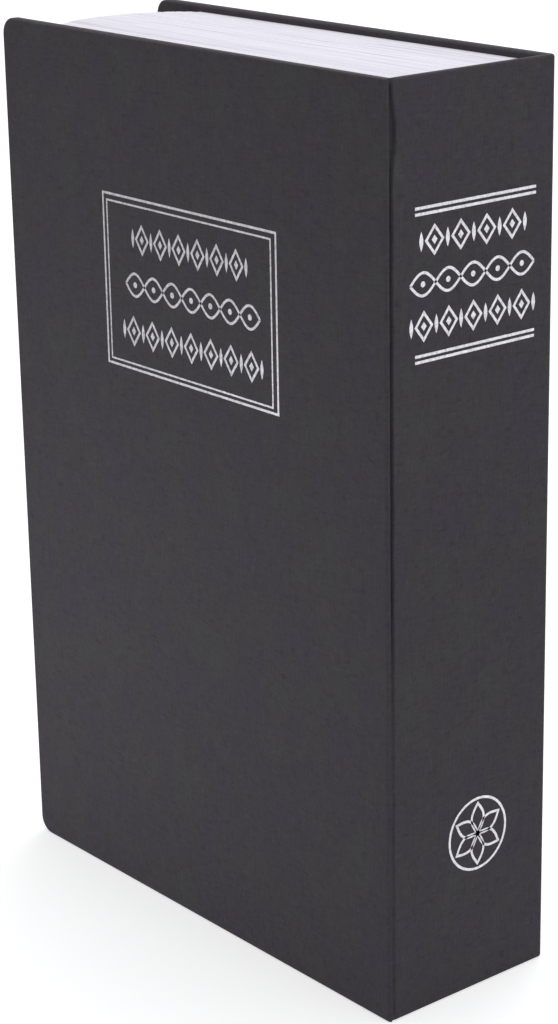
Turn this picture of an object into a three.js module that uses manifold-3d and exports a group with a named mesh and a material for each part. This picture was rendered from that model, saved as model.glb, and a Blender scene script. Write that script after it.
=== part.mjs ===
// A book diversion safe: a case of covered boards, a moulded ring of false pages and a steel box that locks.
// Millimetres, +Z up. The book stands on its tail, with its spine at +X and its front cover facing -Y.
import * as THREE from "three";
import { mergeVertices } from "three/addons/utils/BufferGeometryUtils.js";
import Module from "manifold-3d";

const wasm = await Module();
wasm.setup();

// Whole book
const bookWidth = 155;
const bookThickness = 55;
const bookHeight = 240;

// Gaps between pieces
const fitGap = 0.3;
const coverGap = 0.5;
const cutOverrun = 1;

// Case: boards, covering and linings
const clothThickness = 0.4;
const boardThickness = 2;
const spineBoardThickness = 1.3;
const liningThickness = 0.4;
const foreCornerRadius = 4;
const jointCornerRadius = 1;
const edgeRadius = 0.7;
const turnInWidth = 4;
const spineTurnInLength = 12;
const jointSlit = 0.4;
const jointGrooveDepth = 1.3;
const jointGrooveWidth = 1.6;
const jointClothWidth = 0.8;

// Ring of false pages
const headSquare = 1.9;
const foreSquare = 7.3;
const foreEdgeRadius = 30;
const pageWall = 2;
const pageFaceThickness = 1.5;
const collarWall = 1.5;
const ribThickness = 1.5;
const leafGrooveDepth = 0.3;
const leafGrooveWidth = 0.4;

// Steel box
const boxForeMargin = 28;
const boxSpineMargin = 11.5;
const boxEndMargin = 12;
const boxRecess = 3.9;
const boxSheet = 0.8;
const boxCornerRadius = 2;
const boxFlangeWidth = 5;

// Lid
const lidRecess = 1.4;
const lidSheet = 1;
const lidMargin = 1;
const stiffenerWidth = 26;
const stiffenerFoot = 6;
const stiffenerSheet = 0.8;
const stiffenerDepth = 2;
const stiffenerEndMargin = 14;

// Lid hinges
const hingeInset = 2.2;
const knuckleRadius = 1.6;
const knuckleLength = 11;
const knuckleBoreRadius = 1;
const pinRadius = 0.7;
const pinHeadRadius = 1.4;
const pinHeadLength = 0.8;
const hingeHeightShares = [0.22, 0.78];

// Lock body and its fastening
const lockFromBoxEdge = 17.5;
const lockHeightShare = 0.5;
const lockFlangeRadius = 10.5;
const lockFlangeChamfer = 0.4;
const barrelRadius = 8;
const barrelLength = 12;
const washerRadius = 10.4;
const washerThickness = 0.8;
const nutAcrossFlats = 19;
const nutThickness = 3;

// Lock plug, wafers and key
const plugRadius = 5.5;
const plugRecess = 0.3;
const keyThickness = 1.6;
const keyBladeWidth = 6.2;
const keyBladeLength = 27;
const keyBowRadius = 9;
const keyHoleRadius = 2.5;
const keyHoleOffset = 4.5;
const keyBitDepth = 1.4;
const keyBitWidth = 2.2;
const keywayDepth = 10.6;
const waferThickness = 0.8;
const waferLength = 9.4;
const waferWidth = 4;
const waferPitch = 2.3;
const firstWaferDepth = 2.6;

// Cam, its screw and the strike
const camThickness = 1.5;
const camReach = 14.5;
const camHubRadius = 6;
const camWidth = 9;
const tailWidth = 5;
const tailShortfall = 0.2;
const screwRadius = 1.3;
const screwDepth = 3.4;
const screwHeadRadius = 3.4;
const screwHeadLength = 2;
const screwSlotWidth = 0.8;
const screwSlotDepth = 0.9;
const strikeGap = 0.5;
const strikeSheet = 1.2;
const strikeReach = 6.5;
const strikeFootLength = 10;
const strikeHeight = 22;

// Rivets that hold the box to the back board
const rivetRadius = 1.6;
const rivetHeadRadius = 3.6;
const rivetHeadHeight = 1.2;
const rivetShankLength = 2.6;
const rivetEdgeDistance = 20;

// Keys lying in the box: how far each bow stands from the back and spine walls, and its turn
const keyPlaces = [
  { fromSpine: 21, fromBack: 10.2, turn: 0.06 },
  { fromSpine: 25, fromBack: 31, turn: -0.09 },
];

// Counts
const pageRibsAcross = 3;
const pageRibsAlong = 5;
const leafGrooveCount = 15;
const waferCount = 4;
const keyBitCount = 4;
const cornerSegments = 3;
const foreEdgeSegments = 10;
const edgeSegments = 2;
const roundSides = 24;
const smallRoundSides = 16;

// Planes of the case
const foreX = -bookWidth / 2;
const spineX = bookWidth / 2;
const frontY = -bookThickness / 2;
const backY = bookThickness / 2;
const coverThickness = clothThickness + boardThickness + liningThickness;
const spineThickness = clothThickness + spineBoardThickness + liningThickness;
const frontInnerY = frontY + coverThickness;
const backInnerY = backY - coverThickness;
const spineInnerX = spineX - spineThickness;
const spineFrontY = frontInnerY + jointSlit;
const grooveX = spineX - jointGrooveDepth;

// Planes of the page ring and the box
const pageFrontY = frontInnerY + coverGap;
const pageTailZ = headSquare;
const pageHeadZ = bookHeight - headSquare;
const pageForeX = foreX + foreSquare;
const boxForeX = foreX + boxForeMargin;
const boxSpineX = spineX - boxSpineMargin;
const boxTailZ = boxEndMargin;
const boxHeadZ = bookHeight - boxEndMargin;
const boxFrontY = pageFrontY + boxRecess;

// Planes of the lid, its hinge line and the lock
const lidFrontY = pageFrontY + lidRecess;
const lidBackY = lidFrontY + lidSheet;
const lidRimY = boxFrontY - fitGap;
const hingeX = boxSpineX - hingeInset;
const hingeY = boxFrontY - fitGap - knuckleRadius;
const lidForeX = boxForeX + lidMargin;
const lidSpineX = hingeX - knuckleRadius - fitGap;
const lidTailZ = boxTailZ + lidMargin;
const lidHeadZ = boxHeadZ - lidMargin;
const lockX = boxForeX + lockFromBoxEdge;
const lockZ = boxTailZ + (boxHeadZ - boxTailZ) * lockHeightShare;
const barrelEndY = lidFrontY + barrelLength;
const camFrontY = barrelEndY + fitGap;
const camBackY = camFrontY + camThickness;

// Finishes
function finish(color, roughness, metalness) {
  return new THREE.MeshStandardMaterial({ color, roughness, metalness });
}

const charcoalCloth = finish(0x3f3d41, 0.75, 0);
const darkLining = finish(0x2a292c, 0.9, 0);
const greyBoard = finish(0x8d867c, 0.9, 0);
const whitePages = finish(0xebe8f1, 0.65, 0);
const blackSteel = finish(0x1d1d1f, 0.45, 0.3);
const zincSteel = finish(0xa9abad, 0.4, 0.9);
const chromedMetal = finish(0xd5d7da, 0.15, 1);
const brassMetal = finish(0xc7a252, 0.3, 0.9);
const nickelMetal = finish(0xc9c6bd, 0.3, 1);
const rivetMetal = finish(0xb9bbbe, 0.35, 0.9);

// Each axis with the two that an outline square to it is drawn in
const unitX = new THREE.Vector3(1, 0, 0);
const unitY = new THREE.Vector3(0, 1, 0);
const unitZ = new THREE.Vector3(0, 0, 1);
const drawnSquareTo = {
  x: new THREE.Matrix4().makeBasis(unitY, unitZ, unitX),
  y: new THREE.Matrix4().makeBasis(unitZ, unitX, unitY),
  z: new THREE.Matrix4().makeBasis(unitX, unitY, unitZ),
};

// A closed geometry as a solid that can be joined and cut
function solid(geometry) {
  geometry.deleteAttribute("normal");
  geometry.deleteAttribute("uv");
  const welded = mergeVertices(geometry);
  const corners = Array.from(welded.getIndex().array);
  const kept = [];
  for (let i = 0; i < corners.length; i += 3) {
    const [a, b, c] = corners.slice(i, i + 3);
    if (a !== b && b !== c && c !== a) kept.push(a, b, c);
  }
  const vertProperties = new Float32Array(welded.getAttribute("position").array);
  return new wasm.Manifold(new wasm.Mesh({ numProp: 3, vertProperties, triVerts: new Uint32Array(kept) }));
}

function named(name, shape, material) {
  const { numProp, vertProperties, triVerts } = shape.getMesh();
  const geometry = new THREE.BufferGeometry();
  geometry.setAttribute("position", new THREE.BufferAttribute(vertProperties, numProp));
  geometry.setIndex(new THREE.BufferAttribute(triVerts, 1));
  geometry.computeVertexNormals();
  const mesh = new THREE.Mesh(geometry, material);
  mesh.name = name;
  return mesh;
}

function joined(shapes) {
  return shapes.reduce((whole, shape) => whole.add(shape));
}

function block([x0, x1], [y0, y1], [z0, z1]) {
  const geometry = new THREE.BoxGeometry(x1 - x0, y1 - y0, z1 - z0);
  geometry.translate((x0 + x1) / 2, (y0 + y1) / 2, (z0 + z1) / 2);
  return solid(geometry);
}

// An outline drawn square to an axis and run along it, its edges rounded by the bevel
function prism(axis, shape, [from, to], { bevel = 0, curveSegments = cornerSegments } = {}) {
  const geometry = new THREE.ExtrudeGeometry(shape, {
    depth: to - from - 2 * bevel,
    curveSegments,
    bevelEnabled: bevel > 0,
    bevelThickness: bevel,
    bevelSize: bevel,
    bevelOffset: -bevel,
    bevelSegments: edgeSegments,
  });
  geometry.translate(0, 0, from + bevel);
  geometry.applyMatrix4(drawnSquareTo[axis]);
  return solid(geometry);
}

function rod(axis, radius, [from, to], [u, v], sides = roundSides) {
  const geometry = new THREE.CylinderGeometry(radius, radius, to - from, sides);
  geometry.rotateX(Math.PI / 2);
  geometry.translate(u, v, (from + to) / 2);
  geometry.applyMatrix4(drawnSquareTo[axis]);
  return solid(geometry);
}

// A solid turned about the Y axis, from points of radius and height given anticlockwise
function turned(profile, sides = roundSides) {
  return solid(new THREE.LatheGeometry(profile.map(([radius, y]) => new THREE.Vector2(radius, y)), sides));
}

function roundedRectangle([u0, u1], [v0, v1], [lowLeft, lowRight, highRight, highLeft]) {
  const shape = new THREE.Shape();
  const quarter = Math.PI / 2;
  shape.absarc(u1 - lowRight, v0 + lowRight, lowRight, -quarter, 0);
  shape.absarc(u1 - highRight, v1 - highRight, highRight, 0, quarter);
  shape.absarc(u0 + highLeft, v1 - highLeft, highLeft, quarter, 2 * quarter);
  shape.absarc(u0 + lowLeft, v0 + lowLeft, lowLeft, 2 * quarter, 3 * quarter);
  return shape;
}

// A flat piece square to Y, with one radius for its corners at the fore-edge and one at the spine
function panel([x0, x1], [z0, z1], yRange, foreRadius, spineRadius, bevel = 0) {
  const radii = [foreRadius, foreRadius, spineRadius, spineRadius];
  return prism("y", roundedRectangle([z0, z1], [x0, x1], radii), yRange, { bevel });
}

// The board and the lining of one cover, and the hollows that the covering leaves for them
const boardX = [foreX + clothThickness, grooveX - clothThickness];
const boardZ = [clothThickness, bookHeight - clothThickness];
const liningX = [foreX + turnInWidth, spineX - turnInWidth];
const liningZ = [turnInWidth, bookHeight - turnInWidth];

function coverBoard(yRange) {
  return panel(boardX, boardZ, yRange, foreCornerRadius - clothThickness, 0);
}

function coverLining(yRange) {
  return panel(liningX, liningZ, yRange, jointCornerRadius, jointCornerRadius);
}

function coverSkin(yRange) {
  const edges = [foreCornerRadius, jointCornerRadius, edgeRadius];
  return panel([foreX, spineX], [0, bookHeight], yRange, ...edges);
}

// The slope that the front cover's edge has towards the spine, the outer half of the joint's groove
function jointSlope() {
  const shape = new THREE.Shape();
  shape.moveTo(grooveX, frontInnerY);
  shape.lineTo(spineX, frontInnerY - jointGrooveWidth);
  shape.lineTo(spineX + cutOverrun, frontInnerY - jointGrooveWidth);
  shape.lineTo(spineX + cutOverrun, frontInnerY + cutOverrun);
  shape.lineTo(grooveX, frontInnerY + cutOverrun);
  return prism("z", shape, [-cutOverrun, bookHeight + cutOverrun]);
}

// Front cover: covering turned in over the board, and a lining let in level with the turn-in
function frontCoverPieces() {
  const boardY = [frontY + clothThickness, frontInnerY - liningThickness];
  const liningY = [frontInnerY - liningThickness, frontInnerY];
  const liningHollow = coverLining([liningY[0], liningY[1] + cutOverrun]);
  const hollows = [coverBoard(boardY), liningHollow, jointSlope()];
  const covering = coverSkin([frontY, frontInnerY]).subtract(joined(hollows));
  return [
    named("front_covering", covering, charcoalCloth),
    named("front_board", coverBoard(boardY), greyBoard),
    named("front_lining", coverLining(liningY), darkLining),
  ];
}

// The four rivets stand square to the back cover, near the corners of the box
const rivetXs = [boxForeX + rivetEdgeDistance, boxSpineX - rivetEdgeDistance];
const rivetZs = [boxTailZ + rivetEdgeDistance, boxHeadZ - rivetEdgeDistance];
const rivetSpots = rivetZs.flatMap((z) => rivetXs.map((x) => ({ x, z })));
const boxFloorY = backInnerY - boxSheet;
const rivetTipY = backInnerY + rivetShankLength - boxSheet;

function rivetHoles() {
  const span = [boxFloorY - cutOverrun, rivetTipY + fitGap];
  return joined(rivetSpots.map(({ x, z }) => rod("y", rivetRadius + fitGap, span, [z, x], smallRoundSides)));
}

function rivetPieces() {
  const headY = boxFloorY - rivetHeadHeight;
  const profile = [[0, headY]];
  for (let i = 1; i <= cornerSegments; i += 1) {
    const angle = (i / cornerSegments) * (Math.PI / 2);
    profile.push([rivetHeadRadius * Math.sin(angle), boxFloorY - rivetHeadHeight * Math.cos(angle)]);
  }
  profile.push([rivetRadius, boxFloorY], [rivetRadius, rivetTipY], [0, rivetTipY]);
  return rivetSpots.map(({ x, z }, i) => {
    const rivet = named(`box_rivet_${i + 1}`, turned(profile, smallRoundSides), rivetMetal);
    rivet.position.set(x, 0, z);
    return rivet;
  });
}

// Spine and back cover: one covering round the corner over both boards
function spineAndBackPieces() {
  const spineBoardX = [spineInnerX + liningThickness, spineX - clothThickness];
  const spineBoardY = [spineFrontY + clothThickness, backInnerY - clothThickness];
  const spineLiningX = [spineInnerX, spineInnerX + liningThickness];
  const spineLiningZ = [spineTurnInLength, bookHeight - spineTurnInLength];
  const boardY = [backInnerY + liningThickness, backY - clothThickness];
  const liningY = [backInnerY, backInnerY + liningThickness];

  const spineRadii = new Array(4).fill(jointCornerRadius);
  const spineOutline = roundedRectangle([spineFrontY, backY], [0, bookHeight], spineRadii);
  const spineSkin = prism("x", spineOutline, [spineInnerX, spineX], { bevel: edgeRadius });
  const cornerX = [spineInnerX, spineX - edgeRadius];
  const corner = block(cornerX, [backInnerY - edgeRadius, backY - edgeRadius], boardZ);
  const spineBoard = block(spineBoardX, spineBoardY, boardZ);
  const spineLining = block(spineLiningX, spineBoardY, spineLiningZ);
  const spineLiningHollow = block([spineInnerX - cutOverrun, spineLiningX[1]], spineBoardY, spineLiningZ);
  const backLiningHollow = coverLining([backInnerY - cutOverrun, liningY[1]]);
  const covering = joined([coverSkin([backInnerY, backY]), spineSkin, corner])
    .subtract(joined([spineBoard, spineLiningHollow]))
    .subtract(joined([coverBoard(boardY), backLiningHollow]));
  return [
    named("spine_back_covering", covering, charcoalCloth),
    named("spine_board", spineBoard, greyBoard),
    named("spine_lining", spineLining, darkLining),
    named("back_board", coverBoard(boardY).subtract(rivetHoles()), greyBoard),
    named("back_lining", coverLining(liningY).subtract(rivetHoles()), darkLining),
  ];
}

// The strip of cloth on which the front cover swings, between its edge and the spine's
function jointCloth() {
  return block([grooveX - jointClothWidth, grooveX], [frontInnerY, spineFrontY], boardZ);
}

// Plan of the page ring: straight at the spine and a round fore-edge that bulges towards -X
const foreEdgeCentreX = pageForeX + foreEdgeRadius;
const foreEdgeCentreY = (pageFrontY + backInnerY) / 2;

function foreEdgeAt(y) {
  return foreEdgeCentreX - Math.sqrt(foreEdgeRadius ** 2 - (y - foreEdgeCentreY) ** 2);
}

function pageBlock(inset, [y0, y1], [z0, z1]) {
  const radius = foreEdgeRadius - inset;
  const frontAngle = Math.PI + Math.asin((foreEdgeCentreY - y0) / radius);
  const backAngle = Math.PI - Math.asin((y1 - foreEdgeCentreY) / radius);
  const shape = new THREE.Shape();
  shape.moveTo(spineInnerX - inset, y0);
  shape.lineTo(spineInnerX - inset, y1);
  shape.absarc(foreEdgeCentreX, foreEdgeCentreY, radius, backAngle, frontAngle);
  return prism("z", shape, [z0, z1], { curveSegments: foreEdgeSegments });
}

function boxOutline(growth, yRange) {
  const radius = Math.max(boxCornerRadius + growth, 0);
  const xRange = [boxForeX - growth, boxSpineX + growth];
  return panel(xRange, [boxTailZ - growth, boxHeadZ + growth], yRange, radius, radius);
}

// Shallow grooves round head, fore-edge and tail that read as leaves
function leafGrooves() {
  const pitch = (backInnerY - pageFrontY) / (leafGrooveCount + 1);
  const grooves = [];
  for (let i = 1; i <= leafGrooveCount; i += 1) {
    const y = pageFrontY + i * pitch;
    const slab = [y, y + leafGrooveWidth];
    const bottomX = foreEdgeAt(y) + leafGrooveDepth;
    const kept = block(
      [bottomX, spineX],
      [slab[0] - cutOverrun, slab[1] + cutOverrun],
      [pageTailZ + leafGrooveDepth, pageHeadZ - leafGrooveDepth],
    );
    grooves.push(block([foreX, spineInnerX + cutOverrun], slab, [0, bookHeight]).subtract(kept));
  }
  return joined(grooves);
}

function pageRibs() {
  const depth = [pageFrontY, backInnerY];
  const ribs = [];
  for (let i = 1; i <= pageRibsAcross; i += 1) {
    const x = boxForeX + ((boxSpineX - boxForeX) * i) / (pageRibsAcross + 1);
    ribs.push(block([x, x + ribThickness], depth, [pageTailZ, pageHeadZ]));
  }
  for (let i = 1; i <= pageRibsAlong; i += 1) {
    const z = boxTailZ + ((boxHeadZ - boxTailZ) * i) / (pageRibsAlong + 1);
    ribs.push(block([pageForeX, spineInnerX], depth, [z, z + ribThickness]));
  }
  return joined(ribs);
}

// A hollow moulding, open towards the back cover, with a collar that holds the box
function pageRing() {
  const depth = [pageFrontY, backInnerY];
  const whole = pageBlock(0, depth, [pageTailZ, pageHeadZ]);
  const hollowY = [pageFrontY + pageFaceThickness, backInnerY + cutOverrun];
  const hollow = pageBlock(pageWall, hollowY, [pageTailZ + pageWall, pageHeadZ - pageWall]);
  const collar = boxOutline(fitGap + collarWall, depth);
  const opening = boxOutline(fitGap, [pageFrontY - cutOverrun, backInnerY + cutOverrun]);
  const ring = whole.subtract(hollow).add(joined([collar, pageRibs()]).intersect(whole));
  return ring.subtract(opening).subtract(leafGrooves());
}

// Where the knuckles of one hinge stand: the lid's between the box's two
function knuckleSpans(share) {
  const centre = boxTailZ + (boxHeadZ - boxTailZ) * share;
  const half = knuckleLength / 2;
  const step = knuckleLength + fitGap;
  return {
    lid: [centre - half, centre + half],
    box: [[centre - half - step, centre + half - step], [centre - half + step, centre + half + step]],
    whole: [centre - half - step, centre + half + step],
  };
}

const hinges = hingeHeightShares.map(knuckleSpans);

function knuckle(span) {
  return rod("z", knuckleRadius, span, [hingeX, hingeY], smallRoundSides);
}

function hingeBores() {
  const bores = hinges.map(({ whole: [z0, z1] }) => {
    const span = [z0 - cutOverrun, z1 + cutOverrun];
    return rod("z", knuckleBoreRadius, span, [hingeX, hingeY], smallRoundSides);
  });
  return joined(bores);
}

function hingePins() {
  return hinges.map(({ whole: [z0, z1] }, i) => {
    const place = [hingeX, hingeY];
    const shaft = rod("z", pinRadius, [z0 - pinHeadLength, z1 + pinHeadLength], place, smallRoundSides);
    const lowHead = rod("z", pinHeadRadius, [z0 - pinHeadLength, z0], place, smallRoundSides);
    const highHead = rod("z", pinHeadRadius, [z1, z1 + pinHeadLength], place, smallRoundSides);
    return named(`hinge_pin_${i + 1}`, joined([shaft, lowHead, highHead]), zincSteel);
  });
}

// Box folded from sheet, with a flange turned in all round its mouth and the fixed knuckles on the flange
function boxTray() {
  const shell = boxOutline(0, [boxFrontY, backInnerY]);
  const cavity = boxOutline(-boxSheet, [boxFrontY + boxSheet, boxFloorY]);
  const mouth = boxOutline(-boxFlangeWidth, [boxFrontY - cutOverrun, boxFrontY + cutOverrun + boxSheet]);
  const knuckles = hinges.flatMap(({ box }) => box).map((span) => {
    const leaf = block([hingeX, hingeX + knuckleRadius], [hingeY, boxFrontY + boxSheet / 2], span);
    return knuckle(span).add(leaf);
  });
  const folded = shell.subtract(cavity).subtract(mouth);
  return folded.add(joined(knuckles)).subtract(hingeBores()).subtract(rivetHoles());
}

// Lid pressed as a shallow pan, open at its hinge side, with the swinging knuckles
function boxLid() {
  const skin = panel([lidForeX, lidSpineX], [lidTailZ, lidHeadZ], [lidFrontY, lidRimY], boxCornerRadius, 0);
  const hollow = block(
    [lidForeX + lidSheet, lidSpineX + cutOverrun],
    [lidBackY, lidRimY + cutOverrun],
    [lidTailZ + lidSheet, lidHeadZ - lidSheet],
  );
  const knuckles = hinges.map(({ lid }) => {
    const leaf = block([lidSpineX - lidMargin, hingeX], [lidFrontY, lidBackY], lid);
    return knuckle(lid).add(leaf);
  });
  const holeY = [lidFrontY - cutOverrun, lidRimY + cutOverrun];
  const lockHole = rod("y", barrelRadius + fitGap, holeY, [lockZ, lockX]);
  return skin.subtract(hollow).add(joined(knuckles)).subtract(hingeBores()).subtract(lockHole);
}

// A top-hat section welded up the middle of the lid's inner face
function lidStiffener() {
  const centreX = (lidForeX + lidSpineX) / 2;
  const span = [lidTailZ + stiffenerEndMargin, lidHeadZ - stiffenerEndMargin];
  const feetHalf = stiffenerWidth / 2;
  const crownHalf = feetHalf - stiffenerFoot;
  const hollowHalf = crownHalf - stiffenerSheet;
  const feetY = [lidBackY, lidBackY + stiffenerSheet];
  const crownY = [lidBackY, lidBackY + stiffenerDepth];
  const feet = block([centreX - feetHalf, centreX + feetHalf], feetY, span);
  const crown = block([centreX - crownHalf, centreX + crownHalf], crownY, span);
  const hollow = block(
    [centreX - hollowHalf, centreX + hollowHalf],
    [lidBackY - cutOverrun, lidBackY + stiffenerDepth - stiffenerSheet],
    [span[0] - cutOverrun, span[1] + cutOverrun],
  );
  return feet.add(crown).subtract(hollow);
}

// The lock is drawn about its own axis, which runs along Y
function lockBody() {
  const bore = plugRadius + fitGap;
  return turned([
    [bore, pageFrontY],
    [lockFlangeRadius - lockFlangeChamfer, pageFrontY],
    [lockFlangeRadius, pageFrontY + lockFlangeChamfer],
    [lockFlangeRadius, lidFrontY],
    [barrelRadius, lidFrontY],
    [barrelRadius, barrelEndY],
    [bore, barrelEndY],
    [bore, pageFrontY],
  ]);
}

function lockWasher() {
  const span = [lidBackY, lidBackY + washerThickness];
  const hole = rod("y", barrelRadius + fitGap, [span[0] - cutOverrun, span[1] + cutOverrun], [0, 0]);
  return rod("y", washerRadius, span, [0, 0]).subtract(hole);
}

function lockNut() {
  const front = lidBackY + washerThickness;
  const span = [front, front + nutThickness];
  const hexSides = 6;
  const cornerRadius = nutAcrossFlats / 2 / Math.cos(Math.PI / hexSides);
  const hole = rod("y", barrelRadius + fitGap, [span[0] - cutOverrun, span[1] + cutOverrun], [0, 0]);
  return rod("y", cornerRadius, span, [0, 0], hexSides).subtract(hole);
}

function waferFront(i) {
  return pageFrontY + plugRecess + firstWaferDepth + i * waferPitch;
}

function lockPlug() {
  const front = pageFrontY + plugRecess;
  const tailHalf = tailWidth / 2;
  const body = rod("y", plugRadius, [front, barrelEndY], [0, 0]);
  const tailY = [barrelEndY - cutOverrun, camBackY - tailShortfall];
  const tail = block([-tailHalf, tailHalf], tailY, [-tailHalf, tailHalf]);
  const keywayHalfLength = keyBladeWidth / 2 + fitGap;
  const keywayHalfWidth = keyThickness / 2 + fitGap;
  const keyway = block(
    [-keywayHalfLength, keywayHalfLength],
    [front - cutOverrun, front + keywayDepth],
    [-keywayHalfWidth, keywayHalfWidth],
  );
  const slotHalf = waferWidth / 2 + fitGap;
  const slots = [];
  for (let i = 0; i < waferCount; i += 1) {
    const slotY = [waferFront(i) - fitGap, waferFront(i) + waferThickness + fitGap];
    slots.push(block([-plugRadius, plugRadius], slotY, [-slotHalf, slotHalf]));
  }
  const screwSpan = [camBackY - screwDepth - fitGap, camBackY + cutOverrun];
  const screwHole = rod("y", screwRadius + fitGap, screwSpan, [0, 0], smallRoundSides);
  return body.add(tail).subtract(joined([keyway, ...slots])).subtract(screwHole);
}

function lockWafers() {
  const windowHalfLength = keyBladeWidth / 2 + fitGap;
  const windowHalfWidth = keyThickness / 2 + fitGap;
  const wafers = [];
  for (let i = 0; i < waferCount; i += 1) {
    const span = [waferFront(i), waferFront(i) + waferThickness];
    const plate = block([-waferLength / 2, waferLength / 2], span, [-waferWidth / 2, waferWidth / 2]);
    const window = block(
      [-windowHalfLength, windowHalfLength],
      [span[0] - cutOverrun, span[1] + cutOverrun],
      [-windowHalfWidth, windowHalfWidth],
    );
    wafers.push(named(`lock_wafer_${i + 1}`, plate.subtract(window), brassMetal));
  }
  return wafers;
}

// The cam points down while the lid is unlocked
function lockCam() {
  const span = [camFrontY, camBackY];
  const endRadius = camWidth / 3;
  const hub = rod("y", camHubRadius, span, [0, 0]);
  const radii = [endRadius, 0, 0, endRadius];
  const arm = prism("y", roundedRectangle([-camReach, 0], [-camWidth / 2, camWidth / 2], radii), span);
  const holeHalf = tailWidth / 2 + fitGap;
  const holeY = [span[0] - cutOverrun, span[1] + cutOverrun];
  const hole = block([-holeHalf, holeHalf], holeY, [-holeHalf, holeHalf]);
  return hub.add(arm).subtract(hole);
}

function camScrew() {
  const headEndY = camBackY + screwHeadLength;
  const shankY = [camBackY - screwDepth, camBackY + screwHeadLength / 2];
  const shank = rod("y", screwRadius, shankY, [0, 0], smallRoundSides);
  const head = rod("y", screwHeadRadius, [camBackY, headEndY], [0, 0], smallRoundSides);
  const slotY = [headEndY - screwSlotDepth, headEndY + cutOverrun];
  const slotHalf = screwSlotWidth / 2;
  const across = block([-screwHeadRadius, screwHeadRadius], slotY, [-slotHalf, slotHalf]);
  const along = block([-slotHalf, slotHalf], slotY, [-screwHeadRadius, screwHeadRadius]);
  return shank.add(head).subtract(across.add(along));
}

// An angle welded inside the fore-edge wall, whose lip the turned cam passes behind
function strikePlate() {
  const wallX = boxForeX + boxSheet;
  const lipBackY = camFrontY - strikeGap;
  const span = [lockZ - strikeHeight / 2, lockZ + strikeHeight / 2];
  const lipFrontY = lipBackY - strikeSheet;
  const lip = block([wallX, wallX + strikeReach], [lipFrontY, lipBackY], span);
  const foot = block([wallX, wallX + strikeSheet], [lipFrontY, lipBackY + strikeFootLength], span);
  return lip.add(foot);
}

// A flat key, its bow at the origin and its blade running towards -X
function keyShape() {
  const thickness = [0, keyThickness];
  const cutThickness = [-cutOverrun, keyThickness + cutOverrun];
  const bow = rod("z", keyBowRadius, thickness, [0, 0]);
  const hole = rod("z", keyHoleRadius, cutThickness, [keyHoleOffset, 0], smallRoundSides);
  const tipX = -keyBowRadius - keyBladeLength;
  const tipRadius = keyBladeWidth / 3;
  const bladeY = [-keyBladeWidth / 2, keyBladeWidth / 2];
  const blade = prism("z", roundedRectangle([tipX, 0], bladeY, [tipRadius, 0, 0, tipRadius]), thickness);
  const cuts = [];
  for (let i = 0; i < keyBitCount; i += 1) {
    const x = tipX + (i + 1) * 2 * keyBitWidth;
    const depth = (keyBitDepth * (1 + (i % 2))) / 2;
    cuts.push(block([x, x + keyBitWidth], [bladeY[1] - depth, bladeY[1] + cutOverrun], cutThickness));
  }
  return bow.add(blade).subtract(joined([hole, ...cuts]));
}

function keyPieces() {
  return keyPlaces.map(({ fromSpine, fromBack, turn }, i) => {
    const key = named(`key_${i + 1}`, keyShape(), nickelMetal);
    key.position.set(boxSpineX - fromSpine, boxFloorY - fromBack, boxTailZ + boxSheet);
    key.rotation.z = turn;
    return key;
  });
}

// The cover, the lid and the core of the lock each swing as a group
const frontCover = new THREE.Group();
frontCover.add(...frontCoverPieces());

const lockCore = new THREE.Group();
lockCore.add(named("lock_plug", lockPlug(), brassMetal), ...lockWafers());
lockCore.add(named("lock_cam", lockCam(), zincSteel), named("cam_screw", camScrew(), zincSteel));

const lock = new THREE.Group();
lock.position.set(lockX, 0, lockZ);
lock.add(named("lock_body", lockBody(), chromedMetal), named("lock_washer", lockWasher(), zincSteel));
lock.add(named("lock_nut", lockNut(), zincSteel), lockCore);

const lid = new THREE.Group();
lid.add(named("box_lid", boxLid(), blackSteel), named("lid_stiffener", lidStiffener(), blackSteel), lock);

const bookSafe = new THREE.Group();
bookSafe.add(...spineAndBackPieces(), named("joint_cloth", jointCloth(), charcoalCloth));
bookSafe.add(named("page_ring", pageRing(), whitePages), named("box_tray", boxTray(), blackSteel));
bookSafe.add(named("strike_plate", strikePlate(), zincSteel), ...rivetPieces(), ...hingePins());
bookSafe.add(...keyPieces(), frontCover, lid);

export default bookSafe;
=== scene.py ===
"""Looks of a book safe: a covered case, false pages, foil ornament and a steel box with its lock. Metres."""
import random
from functools import reduce
from math import asin, ceil, cos, exp, pi, radians, sin, sqrt

import bmesh
import bpy
from mathutils import Matrix, Vector, noise

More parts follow.
